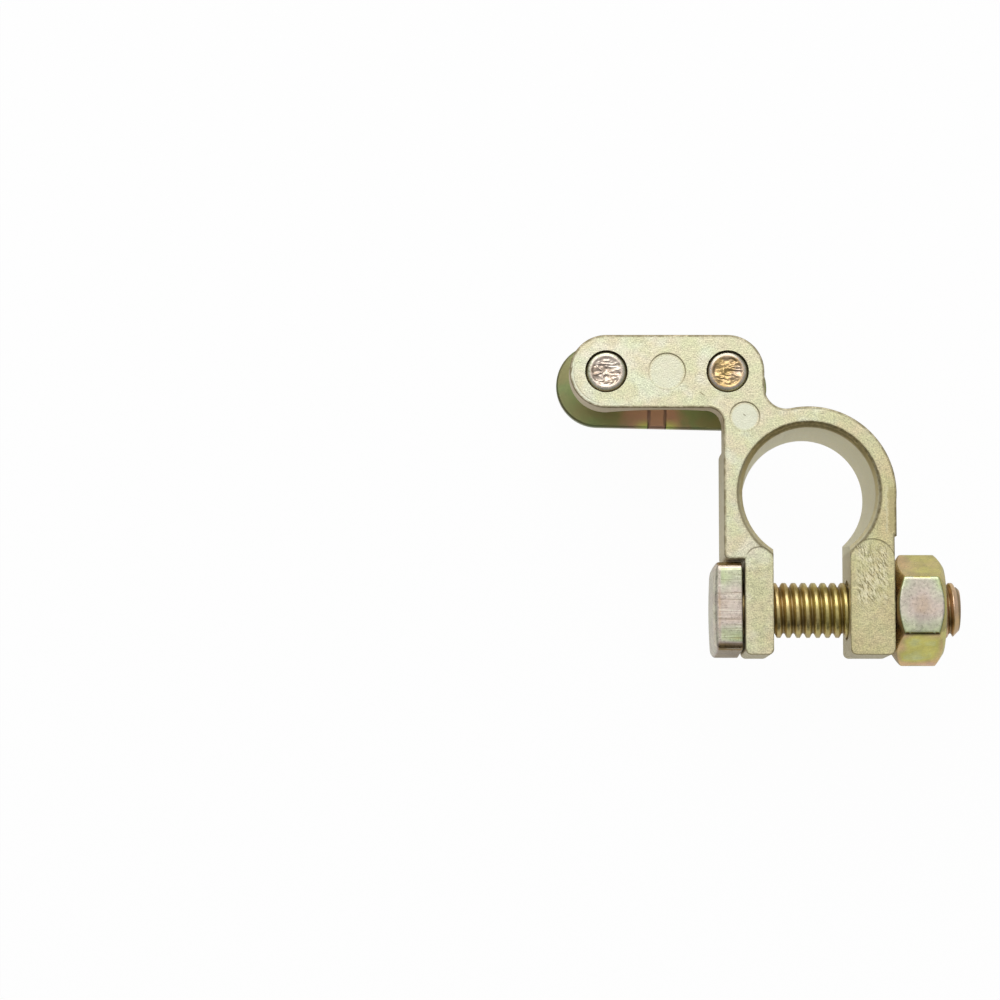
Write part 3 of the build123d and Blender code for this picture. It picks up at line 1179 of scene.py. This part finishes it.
@dataclass(frozen=True)
class PlateFinish:
    """Olive zinc plate, red-brown by its pressed rib, with painted highlights beside the rib and painted shade along
    its edges. The colours are raised as painted light against the arm's shadow, and the end out from under the arm is
    darkened as painted shade.

    The mesh gives the distance from the rib's middle in millimetres as the attribute rib. Places and widths here
    are in millimetres too, and a grain is in noise cells to the millimetre.
    """

    name: str = "plate_film"
    # Colours raised as painted light against the arm's shadow.
    olive: Colour = (0.40, 0.38, 0.18)
    green: Colour = (0.34, 0.41, 0.18)
    brown: Colour = (0.62, 0.38, 0.26)
    # Painted highlight colour beside the rib, and painted shade colour along the rib's edges.
    bright: Colour = (0.80, 0.90, 0.26)
    dark: Colour = (0.05, 0.04, 0.02)
    roughness: float = 0.3
    fine_grain: float = 2.0
    coarse_grain: float = 0.5
    grain_depth: float = 0.015 * MM
    cloud_grain: float = 0.3
    cloud: Span = (0.35, 0.65)
    brown_reach: Span = (2.5, 6.0)
    brown_ragged: float = 6.0
    rib_edge: float = 1.29
    rib_shade_width: Span = (0.05, 0.16)
    rib_shade_foot: Span = (11.2, 12.8)
    rib_shade_shares: Span = (0.85, 0.05)
    highlight_rise: Span = (0.0, 0.1)
    highlight_fall: Span = (0.5, 2.6)
    highlight_foot: Span = (11.2, 13.0)
    end: Span = (-35.5, -30.0)
    end_shade_share: float = 0.68

    def make(self) -> bpy.types.Material:
        """Build the node tree and return the material."""
        graph, surface = new_material(self.name, 1.0)
        surface.inputs["Roughness"].default_value = self.roughness
        place = graph.place()
        x, y, _ = graph.axes(place)
        aside = graph.math("ABSOLUTE", graph.attribute("rib"))
        from_rib = graph.less(aside, self.rib_edge)
        cloud = graph.noise(place, self.cloud_grain, 2.0, 0.5)
        colour = graph.mix(graph.span(cloud, *self.cloud), self.olive, self.green)
        patchy = graph.total(aside, graph.product(graph.centred(cloud), self.brown_ragged))
        colour = graph.mix(graph.span(patchy, *self.brown_reach, 1.0, 0.0), colour, self.brown)
        # Painted highlights beside the rib's edges, strongest towards the plate's lower edge.
        painted_highlight = graph.product(graph.window(from_rib, self.highlight_rise, self.highlight_fall),
                               graph.span(y, *self.highlight_foot, 1.0, 0.0))
        colour = graph.mix(painted_highlight, colour, self.bright)
        # Painted shade along the rib's edges, strongest towards the plate's lower edge.
        line = graph.product(graph.streak(from_rib, self.rib_shade_width),
                             graph.span(y, *self.rib_shade_foot, *self.rib_shade_shares))
        colour = graph.mix(line, colour, self.dark)
        # Painted shade over the end that sticks out from under the arm.
        colour = graph.mix(1.0, colour, graph.span(x, *self.end, self.end_shade_share, 1.0), "MULTIPLY")
        grain = graph.group(Effect.GRAIN, Fine=self.fine_grain, Coarse=self.coarse_grain)
        graph.feed(surface, {"Base Color": colour, "Normal": graph.bump(grain.outputs["Height"], self.grain_depth)})
        return bpy.data.materials[self.name]


def dress(made: bpy.types.Object, materials: list[bpy.types.Material], body: str, node: str) -> None:
    """Give a finished piece its materials, its body and the CAD node it stands for.

    Args:
        made: The piece.
        materials: Materials in the order of the mesh's material numbers.
        body: CAD body that the piece moves with.
        node: CAD node that the piece replaces.
    """
    numbers = np.zeros(len(made.data.polygons), np.int32)
    made.data.polygons.foreach_get("material_index", numbers)
    made.data.materials.clear()
    for material in materials:
        made.data.materials.append(material)
    made.data.polygons.foreach_set("material_index", numbers)
    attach(made, body)
    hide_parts(node)
    log.info("%s: %d faces on %s", made.name, len(made.data.polygons), body)


@dataclass
class Casting:
    """One-piece casting: split ring, jaws, neck and hollowed cable arm."""

    name: str = "clamp_casting"
    node: str = "clamp_body"
    body: str = "clamp"
    slot: str = "casting"
    step: float = 0.6 * MM
    crease: float = math.radians(38.0)
    level_normal: float = 0.999
    wall_normal: float = 0.05
    edge_radius: float = 0.2 * MM
    edge_reach: float = 1.0 * MM
    edge_slack: float = 0.01 * MM
    jaw_top: float = -11.0 * MM

    def build(self) -> bpy.types.Object:
        """Refine the CAD casting and mark its edges and walls."""
        made = refined_copy(self.node, self.name, self.step, self.crease)
        self.mark(made)
        dress(made, [CastFinish().make()], self.body, self.node)
        return made

    def mark(self, made: bpy.types.Object) -> None:
        """Store how far each place is from the edge of its face, in millimetres, and where walls are.

        On a face towards the battery the distance runs to the face's rounded or chamfered outline, and to the
        sharp one on the jaws. On a wall it runs down from the wall's rounded upper edge. The low walls of the
        pin marks have none.

        Args:
            made: The casting's object.
        """
        _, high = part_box(self.node)
        points = read_points(made)
        facets = bmesh.new()
        facets.from_mesh(made.data)
        level = np.zeros(len(points), bool)
        near = np.zeros(len(points), bool)
        leaning = np.zeros(len(points), bool)
        outline = []
        for facet in facets.faces:
            corners = [corner.index for corner in facet.verts]
            level[corners] |= abs(facet.normal.z) > self.level_normal
            near[corners] |= facet.normal.z > self.level_normal
            leaning[corners] |= self.wall_normal < abs(facet.normal.z) < self.level_normal
        for edge in facets.edges:
            lean = sorted(facet.normal.z for facet in edge.link_faces)
            on_jaw = max(corner.co.y for corner in edge.verts) < self.jaw_top
            lowest = -self.wall_normal if on_jaw else self.wall_normal
            if lowest < lean[0] < self.level_normal < lean[-1]:
                outline.append([corner.index for corner in edge.verts])
        facets.free()
        outline = np.array(outline)
        depth = high.z - self.edge_radius - points[:, 2]
        down = np.where(depth > -self.edge_slack, depth, self.edge_reach)
        distance = np.where(leaning, np.maximum(depth, 0.0), down)
        distance[near] = segment_distance(points[near], points[outline[:, 0]], points[outline[:, 1]])
        put_attribute(made, "edge", distance / MM)
        put_attribute(made, "wall", np.where(level, 0.0, 1.0))


@dataclass
class ClampBolt:
    """Square-headed clamp bolt with a 5/16 inch coarse thread."""

    name: str = "clamp_bolt_threaded"
    node: str = "clamp_bolt"
    body: str = "bolt"
    slot: str = "bolt_zinc"
    columns: int = 192
    rows_per_pitch: int = 14
    head_flats: float = 12.7 * MM
    head_thickness: float = 4.4 * MM
    side_radius: float = 1.15 * MM
    end_radius: float = 1.1 * MM
    crown: float = 0.22 * MM
    edge_break: float = 0.2 * MM
    head_turn: float = math.radians(-3.0)
    thread: Thread = Thread(1.411 * MM, 3.97 * MM, 0.64 * MM, phase=-0.51 * MM, root_share=0.12, crest_share=0.32)
    plain_length: float = 2.4 * MM
    plain_radius: float = 3.85 * MM
    end_chamfer: float = 1.0 * MM
    face_rings: tuple[float, ...] = (0.15, 0.4, 0.65, 0.85, 0.95)
    round_rows: int = 9
    side_rows: int = 12
    break_rows: int = 5
    seat_rings: tuple[float, ...] = (0.25, 0.5, 0.75)
    end_rings: tuple[float, ...] = (0.8, 0.5, 0.2)
    groove_shade_share: float = 0.75
    face_hue: float = 0.61
    face_level: float = 1.27
    flat_shift: float = 0.07
    flat_shade: float = 0.30
    green_shift: float = 0.19
    green_shade: float = 0.14
    brown_hue: float = 0.92
    brown_shade: float = 0.3
    brown_line: float = 0.45
    brown_line_width: float = 0.2 * MM
    shank_hue: float = 0.2
    shank_level: float = 1.2
    nut_end: float = 32.0 * MM
    nut_end_fade: float = 1.5 * MM
    nut_end_shift: float = 0.14

    def build(self) -> bpy.types.Object:
        """Rows from the head's end face, over the head and along the thread to the bolt's end."""
        low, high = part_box(self.node)
        origin = (low + high) / 2
        angle = directions(self.columns)
        parts = self.head_rows(low.x, angle) + self.shank_rows(low.x + self.head_thickness, high.x, angle)
        made = turned_piece(self.name, Along.X, origin, angle, parts, looped=False)
        self.tint(made, origin, low.x)
        head = FilmFinish("bolt_head_film", spread=0.3, patch=0.3, lines=(9.0, 0.24, 0.24))
        thread = FilmFinish("bolt_thread_film", spread=0.3, roughness=0.34)
        dress(made, [head.make(), thread.make()], self.body, self.node)
        return made

    def tint(self, made: bpy.types.Object, origin: Vector, end: float) -> None:
        """Film of the head: green at the flats' ends, pink between, brown at its edges and grey on its end, with the
        flats darkened below the end as painted shade.

        Args:
            made: The bolt's object.
            origin: Point on the bolt's axis.
            end: Coordinate of the head's end face.
        """
        points = read_points(made)
        up = (points[:, 1] - origin.y) / (self.head_flats / 2)
        depth = points[:, 0] - end
        on_shank = depth > self.head_thickness + SEAT_SLACK
        on_flat = smooth_step(depth, 0.6 * self.end_radius, self.end_radius)
        low_green = smooth_step(-up, 0.25, 0.55)
        brown = np.maximum(smooth_step(-up, 0.72, 0.84), smooth_step(up, 0.9, 0.98))
        from_edge = (depth - self.end_radius) / self.brown_line_width
        brown = np.maximum(brown * on_flat, self.brown_line * np.exp(-from_edge**2))
        green = self.green_shift * smooth_step(up, 0.3, 0.7) + self.green_shift * low_green
        hue = self.face_hue + on_flat * (self.flat_shift - green)
        # Painted shade: the flats darker than the end face, more so on their lower part. The brown edges are darker
        # again.
        level = self.face_level - on_flat * (self.flat_shade + self.green_shade * low_green)
        past_nut = smooth_step(depth, self.nut_end - self.nut_end_fade, self.nut_end)
        shank_hue = self.shank_hue - self.nut_end_shift * past_nut
        put_attribute(made, "hue", np.where(on_shank, shank_hue, hue + brown * (self.brown_hue - hue)))
        put_attribute(made, "level", np.where(on_shank, self.shank_level, level * (1 - self.brown_shade * brown)))

    def outline(self, angle: np.ndarray, inset: np.ndarray) -> np.ndarray:
        """Rounded square of the head, drawn in by an inset for each row."""
        rows = [rounded_polygon(angle - self.head_turn, 4, self.head_flats / 2 - step,
                                max(self.side_radius - step, LEAST_RADIUS)) for step in inset.tolist()]
        return np.stack(rows)

    def head_rows(self, end: float, angle: np.ndarray) -> list[Rows]:
        """End face, quarter-round edge, sides and bearing face of the head.

        Args:
            end: Coordinate of the head's end face.
            angle: Directions of the columns.

        Returns:
            Rows in order along the surface.
        """
        bearing = end + self.head_thickness
        half = self.head_flats / 2
        face = self.outline(angle, np.array([self.end_radius])) * column(self.face_rings)
        face_along = end + self.crown * (face / half) ** 2
        turn = np.linspace(0, QUARTER_TURN, self.round_rows)
        rounded = self.outline(angle, self.end_radius * (1 - np.sin(turn)))
        crowned = self.crown * (rounded / half) ** 2 * column(np.cos(turn))
        round_along = end + column(self.end_radius * (1 - np.cos(turn))) + crowned
        side_along = np.linspace(end + self.end_radius, bearing - self.edge_break, self.side_rows)[1:]
        break_turn = np.linspace(0, QUARTER_TURN, self.break_rows)[1:]
        break_inset = self.edge_break * (1 - np.cos(break_turn))
        break_along = bearing - self.edge_break * (1 - np.sin(break_turn))
        rim = self.outline(angle, break_inset[-1:])
        share = column(self.seat_rings)
        under = rim * (1 - share) + self.plain_radius * share
        return [
            Rows(face_along, face),
            Rows(round_along, rounded),
            Rows(column(side_along), self.outline(angle, np.zeros(len(side_along)))),
            Rows(column(break_along), self.outline(angle, break_inset)),
            Rows(column([bearing] * len(under)), under),
        ]

    def shank_rows(self, bearing: float, end: float, angle: np.ndarray) -> list[Rows]:
        """Plain neck, thread and chamfered end of the shank.

        Args:
            bearing: Coordinate of the head's bearing face.
            end: Coordinate of the bolt's end.
            angle: Directions of the columns.

        Returns:
            Rows in order along the surface.
        """
        count = int((end - bearing) / self.thread.pitch * self.rows_per_pitch)
        along = column(np.linspace(bearing, end, count))
        cut = smooth_step(along, bearing + self.plain_length, bearing + self.plain_length + self.thread.pitch)
        radius = self.thread.radius(along, angle) * cut + self.plain_radius * (1 - cut)
        cone = self.thread.outer_radius - (along - (end - self.end_chamfer))
        limited = np.minimum(radius, np.maximum(cone, self.thread.outer_radius - self.end_chamfer))
        groove_shade = smooth_step(1 - self.thread.height(along, angle), 0.45, 1.0) * cut + 1 - cut
        face = limited[-1:] * column(self.end_rings)
        return [
            Rows(along, limited, 1, self.groove_shade_share * groove_shade),
            Rows(column([end] * len(face)), face, 1),
        ]


@dataclass
class ClampNut:
    """Heavy hexagon nut with turned corners and an inner thread."""

    name: str = "clamp_nut_threaded"
    node: str = "clamp_nut"
    body: str = "nut"
    slot: str = "nut_zinc"
    columns: int = 240
    rows_per_pitch: int = 12
    flats: float = 14.05 * MM
    corner_radius: float = 0.35 * MM
    face_share: float = 0.91
    chamfer_angle: float = math.radians(33.0)
    flat_turn: float = math.radians(90.0 - 3.0)
    countersink: float = 0.5 * MM
    thread: Thread = Thread(1.411 * MM, 4.03 * MM, 0.64 * MM, phase=-0.51 * MM, root_share=0.12, crest_share=0.32)
    facet_hues: tuple[float, ...] = (0.69, 0.36, 0.76, 0.44, 0.68, 0.27)
    facet_light_levels: tuple[float, ...] = (1.03, 1.36, 0.9, 0.9, 0.9, 1.2)
    edge_sharpness: float = 70.0
    end_rows: int = 16
    middle_rows: int = 10
    face_ring: float = 0.9
    groove_shade_share: float = 0.8
    seed: int = 5
    wander_size: float = 4.0 * MM
    wander_shift: float = 0.1
    upper_shift: float = 0.16
    lower_shift: float = 0.11
    lower_shade: float = 0.14
    corner_shift: float = 0.1
    below_shift: float = 0.31
    above_shift: float = 0.14
    seat_hue: float = 0.12
    seat_shade: float = 0.32
    tip_hue: float = 0.28
    tip_shade: float = 0.1
    edge_shade: float = 0.75

    def build(self) -> bpy.types.Object:
        """Rows over the outside from the jaw's face to the far face, then back through the bore."""
        low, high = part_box(self.node)
        origin = (low + high) / 2
        angle = directions(self.columns)
        parts = self.outer_rows(low.x, high.x, angle) + self.bore_rows(low.x, high.x, angle)
        made = turned_piece(self.name, Along.X, origin, angle, parts, looped=True)
        self.tint(made, origin)
        dress(made, [FilmFinish("nut_film", spread=0.3, patch=0.35).make()], self.body, self.node)
        return made

    def tint(self, made: bpy.types.Object, origin: Vector) -> None:
        """Film of each flat, which shifts towards the flat's ends and corners, and the browner turned cones. The level
        paints light and shade: its own brightness for each flat, darker towards the near flat's lower end and under
        its lower edge, and darker on the cones.

        Args:
            made: The nut's object.
            origin: Middle of the nut.
        """
        points = read_points(made)
        low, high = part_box(self.node)
        up, toward = points[:, 1] - origin.y, points[:, 2] - origin.z
        direction = np.arctan2(toward, up) - self.flat_turn
        sixth = direction / (FULL_TURN / 6)
        facet = np.round(sixth)
        across = (sixth - facet) * 2
        along = (points[:, 0] - origin.x) / ((high.x - low.x) / 2)
        facet = facet.astype(int) % 6
        wander = Noise(self.seed).layered(points, self.wander_size, 2)
        hue = np.array(self.facet_hues)[facet]
        corner = smooth_step(np.abs(along * across), 0.25, 0.8)
        rim = smooth_step(np.maximum(np.abs(along), np.abs(across)) + 0.5 * wander, 0.35, 1.0)
        low_end = smooth_step(across, 0.2, 0.8)
        ends = self.upper_shift * smooth_step(-across, 0.1, 0.8) + self.lower_shift * low_end
        hue = np.where(facet == 0, hue - ends - self.corner_shift * corner + self.wander_shift * wander, hue)
        hue = np.where(facet == 1, hue - self.below_shift * rim, hue)
        by_jaw = smooth_step(-along + 0.3 * wander, 0.2, 0.9)
        hue = np.where(facet == 5, hue - self.above_shift * by_jaw, hue)
        hexagon = rounded_polygon(direction, 6, self.flats / 2, self.corner_radius)
        cone = smooth_step(hexagon - np.hypot(up, toward), 0.02 * MM, 0.15 * MM)
        seat, tip = cone * (along < 0), cone * (along > 0)
        hue = hue + seat * (self.seat_hue - hue) + tip * (self.tip_hue - hue)
        # Painted light and shade: a brightness for each flat, turned down towards the near flat's lower end and along
        # the edge under it.
        level = np.array(self.facet_light_levels)[facet]
        level = np.where(facet == 0, level * (1 - self.lower_shade * low_end), level)
        under_edge = (1 - smooth_step(across, -0.95, -0.84)) * (1 - smooth_step(np.abs(along), 0.62, 0.8))
        level = np.where(facet == 1, level * (1 - self.edge_shade * under_edge), level)
        put_attribute(made, "hue", hue)
        put_attribute(made, "level", level * (1 - self.seat_shade * seat) * (1 - self.tip_shade * tip))

    def outer_rows(self, start: float, end: float, angle: np.ndarray) -> list[Rows]:
        """Hexagon met by a turned cone at each end, with soft edges between them.

        Args:
            start: Coordinate of the face on the jaw.
            end: Coordinate of the far face.
            angle: Directions of the columns.

        Returns:
            Rows in order along the surface.
        """
        face_radius = self.face_share * self.flats / 2
        slope = 1 / math.tan(self.chamfer_angle)
        depth = np.concatenate([np.linspace(0, 0.25, self.end_rows), np.linspace(0.25, 0.75, self.middle_rows)[1:],
                                np.linspace(0.75, 1, self.end_rows)[1:]])
        along = column(start + depth * (end - start))
        cones = face_radius + slope * (along - start), face_radius + slope * (end - along)
        turned = angle - self.flat_turn
        return [Rows(along, turned_hexagon(turned, self.flats, self.corner_radius, self.edge_sharpness, *cones))]

    def bore_rows(self, start: float, end: float, angle: np.ndarray) -> list[Rows]:
        """Far face, countersink, thread, countersink and the face on the jaw.

        Args:
            start: Coordinate of the face on the jaw.
            end: Coordinate of the far face.
            angle: Directions of the columns.

        Returns:
            Rows in order along the surface.
        """
        face_radius = self.face_share * self.flats / 2
        wide = self.thread.outer_radius + self.countersink
        face = np.ones((1, len(angle))) * column([self.face_ring * face_radius, wide])
        count = int((end - start) / self.thread.pitch * self.rows_per_pitch)
        along = column(np.linspace(end, start, count))
        sink = np.maximum(along - (end - self.countersink), (start + self.countersink) - along)
        cone = self.thread.outer_radius - self.thread.depth + np.maximum(sink, 0) * (
            (self.countersink + self.thread.depth) / self.countersink)
        radius = np.maximum(self.thread.radius(along, angle), cone)
        groove_shade = self.groove_shade_share * self.thread.height(along, angle)
        return [
            Rows(column([end] * 2), face),
            Rows(along[1:-1], radius[1:-1], 0, groove_shade[1:-1]),
            Rows(column([start] * 2), face[::-1]),
        ]


@dataclass(kw_only=True)
class SaddleScrew:
    """Hexagon-headed M6 screw with a sheared end."""

    name: str
    node: str
    body: str
    end_film: FilmFinish
    end_hue: float
    end_level: float
    seed: int
    slot: str = "screw_zinc"
    columns: int = 144
    rows_per_pitch: int = 10
    flats: float = 10.0 * MM
    head_thickness: float = 4.0 * MM
    corner_radius: float = 0.3 * MM
    face_share: float = 0.95
    chamfer_angle: float = math.radians(30.0)
    flat_turn: float = math.radians(27.0)
    thread: Thread = Thread(1.0 * MM, 3.0 * MM, 0.58 * MM)
    end_chamfer: float = 0.7 * MM
    end_bulge: float = 0.28
    edge_sharpness: float = 90.0
    corner_rows: int = 12
    side_rows: int = 10
    face_rings: tuple[float, ...] = (0.2, 0.5, 0.8, 0.96)
    seat_rings: tuple[float, ...] = (0.3, 0.6, 0.9)
    shoulder_rows: int = 12
    end_rows: int = 30
    end_span: Span = (0.97, 0.04)
    groove_shade_share: float = 0.85
    shoulder_shade: float = 0.5
    tear_depth: float = 0.15 * MM
    fold_size: float = 1.7 * MM
    fold_squeeze: float = 2.2
    fold_share: float = 1.4
    ripple_size: float = 0.4
    ripple_share: float = 0.4
    end_reach: float = 0.3 * MM
    ring_hue: float = 0.57
    ring_level: float = 0.8

    def build(self) -> bpy.types.Object:
        """Rows from the head's outer face, over the head and along the thread to the torn end."""
        low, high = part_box(self.node)
        origin = (low + high) / 2
        angle = directions(self.columns)
        seat = low.z + self.head_thickness
        parts = self.head_rows(low.z, seat, angle) + self.shank_rows(seat, high.z, angle)
        torn = self.tear(parts[-1].radius, angle)
        whole = np.zeros((sum(len(part.radius) for part in parts[:-1]), self.columns))
        crumple = np.concatenate([whole, torn])
        made = turned_piece(self.name, Along.Z, origin, angle, parts, looped=False, crumple=crumple)
        points = read_points(made)
        from_axis = np.hypot(points[:, 0] - origin.x, points[:, 1] - origin.y)
        on_end = points[:, 2] > high.z - self.end_reach - self.tear_depth
        on_end &= from_axis < self.thread.outer_radius - self.end_chamfer
        put_attribute(made, "hue", np.where(on_end, self.end_hue, self.ring_hue))
        put_attribute(made, "level", np.where(on_end, self.end_level, self.ring_level))
        film = FilmFinish(self.name + "_film", spread=0.25)
        dress(made, [film.make(), self.end_film.make()], self.body, self.node)
        return made

    def tear(self, radius: np.ndarray, angle: np.ndarray) -> np.ndarray:
        """Depth of the torn end face: long folds of noise with finer ripples, fading out at the rim.

        Args:
            radius: Radii of the end face's rings, shape (rings, columns).
            angle: Directions of the columns.

        Returns:
            Shifts along the axis, shaped like radius.
        """
        flat = np.stack([radius * np.cos(angle), radius * np.sin(angle) * self.fold_squeeze, np.zeros(radius.shape)],
                        axis=-1)
        inside = 1 - smooth_step(radius / radius.max(), 0.8, 1.0)
        fold = np.abs(Noise(self.seed).layered(flat, self.fold_size, 2))
        ripple = 0.5 + Noise(self.seed + 1).layered(flat, self.ripple_size * self.fold_size, 2)
        return -self.tear_depth * inside * (self.fold_share * fold + self.ripple_share * ripple)

    def head_rows(self, start: float, seat: float, angle: np.ndarray) -> list[Rows]:
        """Hexagon head from its outer face, with turned corners there, to its seat.

        Args:
            start: Coordinate of the outer face.
            seat: Coordinate of the seat on the plate.
            angle: Directions of the columns.

        Returns:
            Rows in order along the surface.
        """
        face_radius = self.face_share * self.flats / 2
        slope = 1 / math.tan(self.chamfer_angle)
        depth = np.concatenate([np.linspace(0, 0.2, self.corner_rows), np.linspace(0.2, 1, self.side_rows)[1:]])
        along = column(start + depth * (seat - start))
        cone = face_radius + slope * (along - start)
        turned = angle - self.flat_turn
        side = turned_hexagon(turned, self.flats, self.corner_radius, self.edge_sharpness, cone)
        face = np.ones((1, len(angle))) * column(self.face_rings) * face_radius
        share = column(self.seat_rings)
        under = side[-1:] * (1 - share) + self.thread.outer_radius * share
        return [
            Rows(column([start] * len(face)), face),
            Rows(along, side),
            Rows(column([seat] * len(under)), under),
        ]

    def shank_rows(self, seat: float, end: float, angle: np.ndarray) -> list[Rows]:
        """Thread with a chamfered end, and the end face in rings for its torn surface.

        Args:
            seat: Coordinate of the head's seat.
            end: Coordinate of the screw's end.
            angle: Directions of the columns.

        Returns:
            Rows in order along the surface.
        """
        count = int((end - seat) / self.thread.pitch * self.rows_per_pitch)
        along = column(np.linspace(seat, end, count))
        groove_shade = self.groove_shade_share * smooth_step(1 - self.thread.height(along, angle), 0.3, 1.0)
        round_along = column(np.linspace(end - self.end_chamfer, end, self.shoulder_rows)[1:])
        along = along[along[:, 0] < end - self.end_chamfer]
        rows = np.ones((1, len(angle)))
        face_radius = self.thread.outer_radius - self.end_chamfer
        drop = (end - round_along) / self.end_chamfer
        shoulder = face_radius + self.end_chamfer * drop**self.end_bulge
        # Painted shade in the gap between the end's rounded shoulder and the hole.
        shoulder_shade = self.shoulder_shade * smooth_step(drop, 0.45, 0.9)
        face = rows * column(np.linspace(*self.end_span, self.end_rows)) * face_radius
        return [
            Rows(along, self.thread.radius(along, angle), 0, groove_shade[:len(along)]),
            Rows(round_along, rows * shoulder, 0, rows * shoulder_shade),
            Rows(column([end] * len(face)), face, 1),
        ]


@dataclass
class SaddlePlate:
    """Pressed plate under the cable arm."""

    name: str = "saddle_plate_pressed"
    node: str = "saddle_plate"
    body: str = "saddle"
    slot: str = "plate_zinc"
    step: float = 1.2 * MM
    crease: float = math.radians(38.0)
    skew: float = math.radians(-1.3)
    rib_offset: float = -0.58 * MM

    def build(self) -> bpy.types.Object:
        """Refine the CAD plate and store each place's distance from the rib's middle, in millimetres."""
        made = refined_copy(self.node, self.name, self.step, self.crease)
        low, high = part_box(self.node)
        from_middle = read_points(made) - np.array((low + high) / 2)
        across = from_middle[:, 0] * math.cos(self.skew) + from_middle[:, 1] * math.sin(self.skew)
        put_attribute(made, "rib", (across - self.rib_offset) / MM)
        dress(made, [PlateFinish().make()], self.body, self.node)
        return made


@dataclass
class Studio:
    """Pale floor, soft light and the camera at the photograph's angle."""

    floor_drop: float = 5.0 * MM
    floor_half: float = 3.0
    aim: Vector = Vector((-44.2, -1.0, 6.5)) * MM
    distance: float = 522 * MM
    tilt: float = math.radians(5.2)
    pixels_per_mm: float = 7.0
    frame_pixels: float = 1000.0
    sensor: float = 36.0
    floor_colour: Colour = (0.9, 0.9, 0.9)
    floor_roughness: float = 0.9
    floor_white: Span = (0.97, 0.15)
    key_power: float = 0.95
    key_size: float = 0.36
    key_place: Vector = Vector((-0.05, 0.29, 0.38))
    world_strength: float = 0.5
    world_white: Span = (1.0, 0.0)
    world_lean: Span = (0.5, 0.87)
    world_greys: tuple[Span, ...] = ((0.0, 0.20), (0.4, 0.14), (0.62, 0.45), (1.0, 1.5))
    clip_start: float = 10.0 * MM

    def build(self) -> None:
        """Make the floor, the lights and the camera."""
        self.make_floor()
        self.make_world()
        self.make_key()
        self.make_camera()

    @staticmethod
    def seen_white(graph: Graph, camera_share: float, glossy_share: float) -> Socket:
        """Share of plain white that camera, mirror and transmission rays see.

        Args:
            graph: Graph of the material.
            camera_share: Share for camera rays.
            glossy_share: Share for mirror and transmission rays.

        Returns:
            The share.
        """
        path = graph.add("LightPath").outputs
        camera = graph.math("MULTIPLY", path["Is Camera Ray"], camera_share)
        glossy = graph.math("MAXIMUM", path["Is Glossy Ray"], path["Is Transmission Ray"])
        return graph.math("MAXIMUM", camera, graph.math("MULTIPLY", glossy, glossy_share))

    def make_floor(self) -> None:
        """Level pale floor below the saddle's lowest place."""
        level = cad_low.z - self.floor_drop
        half = self.floor_half
        corners = np.array([(-half, -half, level), (half, -half, level), (half, half, level), (-half, half, level)])
        floor = link_mesh("studio_floor", corners, [(0, 1, 2, 3)])
        graph, matt = new_material("studio_white", 0.0)
        graph.feed(matt, {"Base Color": (*self.floor_colour, 1.0), "Roughness": self.floor_roughness})
        glow = graph.add("Emission", {"Color": WHITE, "Strength": 1.0})
        share = self.seen_white(graph, *self.floor_white)
        both = graph.add("MixShader", {0: share, 1: matt.outputs[0], 2: glow.outputs[0]})
        graph.feed(graph.tree.nodes["Material Output"], {"Surface": both.outputs[0]})
        floor.data.materials.append(bpy.data.materials["studio_white"])

    def make_world(self) -> None:
        """Soft surround, bright overhead and dim towards the bolt's side, that the camera sees as white."""
        world = bpy.data.worlds.new("studio_surround")
        world.use_nodes = True
        bpy.context.scene.world = world
        graph = Graph(world.node_tree)
        _, y, z = graph.axes(graph.add("TexCoord").outputs["Generated"])
        toward = graph.total(*(graph.product(axis, lean) for axis, lean in zip((y, z), self.world_lean)))
        greys = [(position, (grey, grey, grey)) for position, grey in self.world_greys]
        shade = graph.ramp(graph.straight(toward, -1.0, 1.0), greys)
        light = graph.add("Background", {"Color": shade, "Strength": self.world_strength})
        white = graph.add("Background", {"Color": WHITE, "Strength": 1.0})
        share = self.seen_white(graph, *self.world_white)
        both = graph.add("MixShader", {0: share, 1: light.outputs[0], 2: white.outputs[0]})
        graph.feed(graph.tree.nodes["World Output"], {"Surface": both.outputs[0]})

    def make_key(self) -> None:
        """Large soft lamp above the arm."""
        lamp = bpy.data.lights.new("soft_key", "AREA")
        lamp.size = self.key_size
        lamp.energy = self.key_power
        placed = bpy.data.objects.new("soft_key", lamp)
        placed.location = self.key_place
        placed.rotation_mode = "QUATERNION"
        placed.rotation_quaternion = (-self.key_place).to_track_quat("-Z", "Y")
        bpy.context.scene.collection.objects.link(placed)

    def make_camera(self) -> None:
        """Camera over the battery side, tilted a little towards the bolt's end of the part."""
        lens = bpy.data.cameras.new("photo_camera")
        lens.sensor_width = self.sensor
        lens.lens = self.sensor * self.distance / MM * self.pixels_per_mm / self.frame_pixels
        lens.clip_start = self.clip_start
        placed = bpy.data.objects.new("photo_camera", lens)
        back = Vector((0.0, -math.sin(self.tilt), math.cos(self.tilt)))
        placed.location = self.aim + back * self.distance
        placed.rotation_euler = (self.tilt, 0.0, 0.0)
        bpy.context.scene.collection.objects.link(placed)
        bpy.context.scene.camera = placed


def main() -> None:
    """Build every piece and the studio."""
    logging.basicConfig(level=logging.INFO, format="%(message)s")
    Effect.build()
    Casting().build()
    ClampBolt().build()
    ClampNut().build()
    SaddlePlate().build()
    outer_end = FilmFinish("screw_outer_end", spread=0.4, patch=0.42, lines=(2.0, 0.6, 2.0))
    inner_end = FilmFinish("screw_inner_end", spread=0.5, patch=0.42)
    SaddleScrew(name="saddle_screw_outer_threaded", node="saddle_screw_outer", body="screw_outer",
                end_film=outer_end, end_hue=0.72, end_level=1.15, seed=11).build()
    SaddleScrew(name="saddle_screw_inner_threaded", node="saddle_screw_inner", body="screw_inner",
                end_film=inner_end, end_hue=0.86, end_level=0.95, seed=17).build()
    Studio().build()
    bpy.context.scene.view_settings.view_transform = "Standard"


if __name__ == "__main__":
    main()
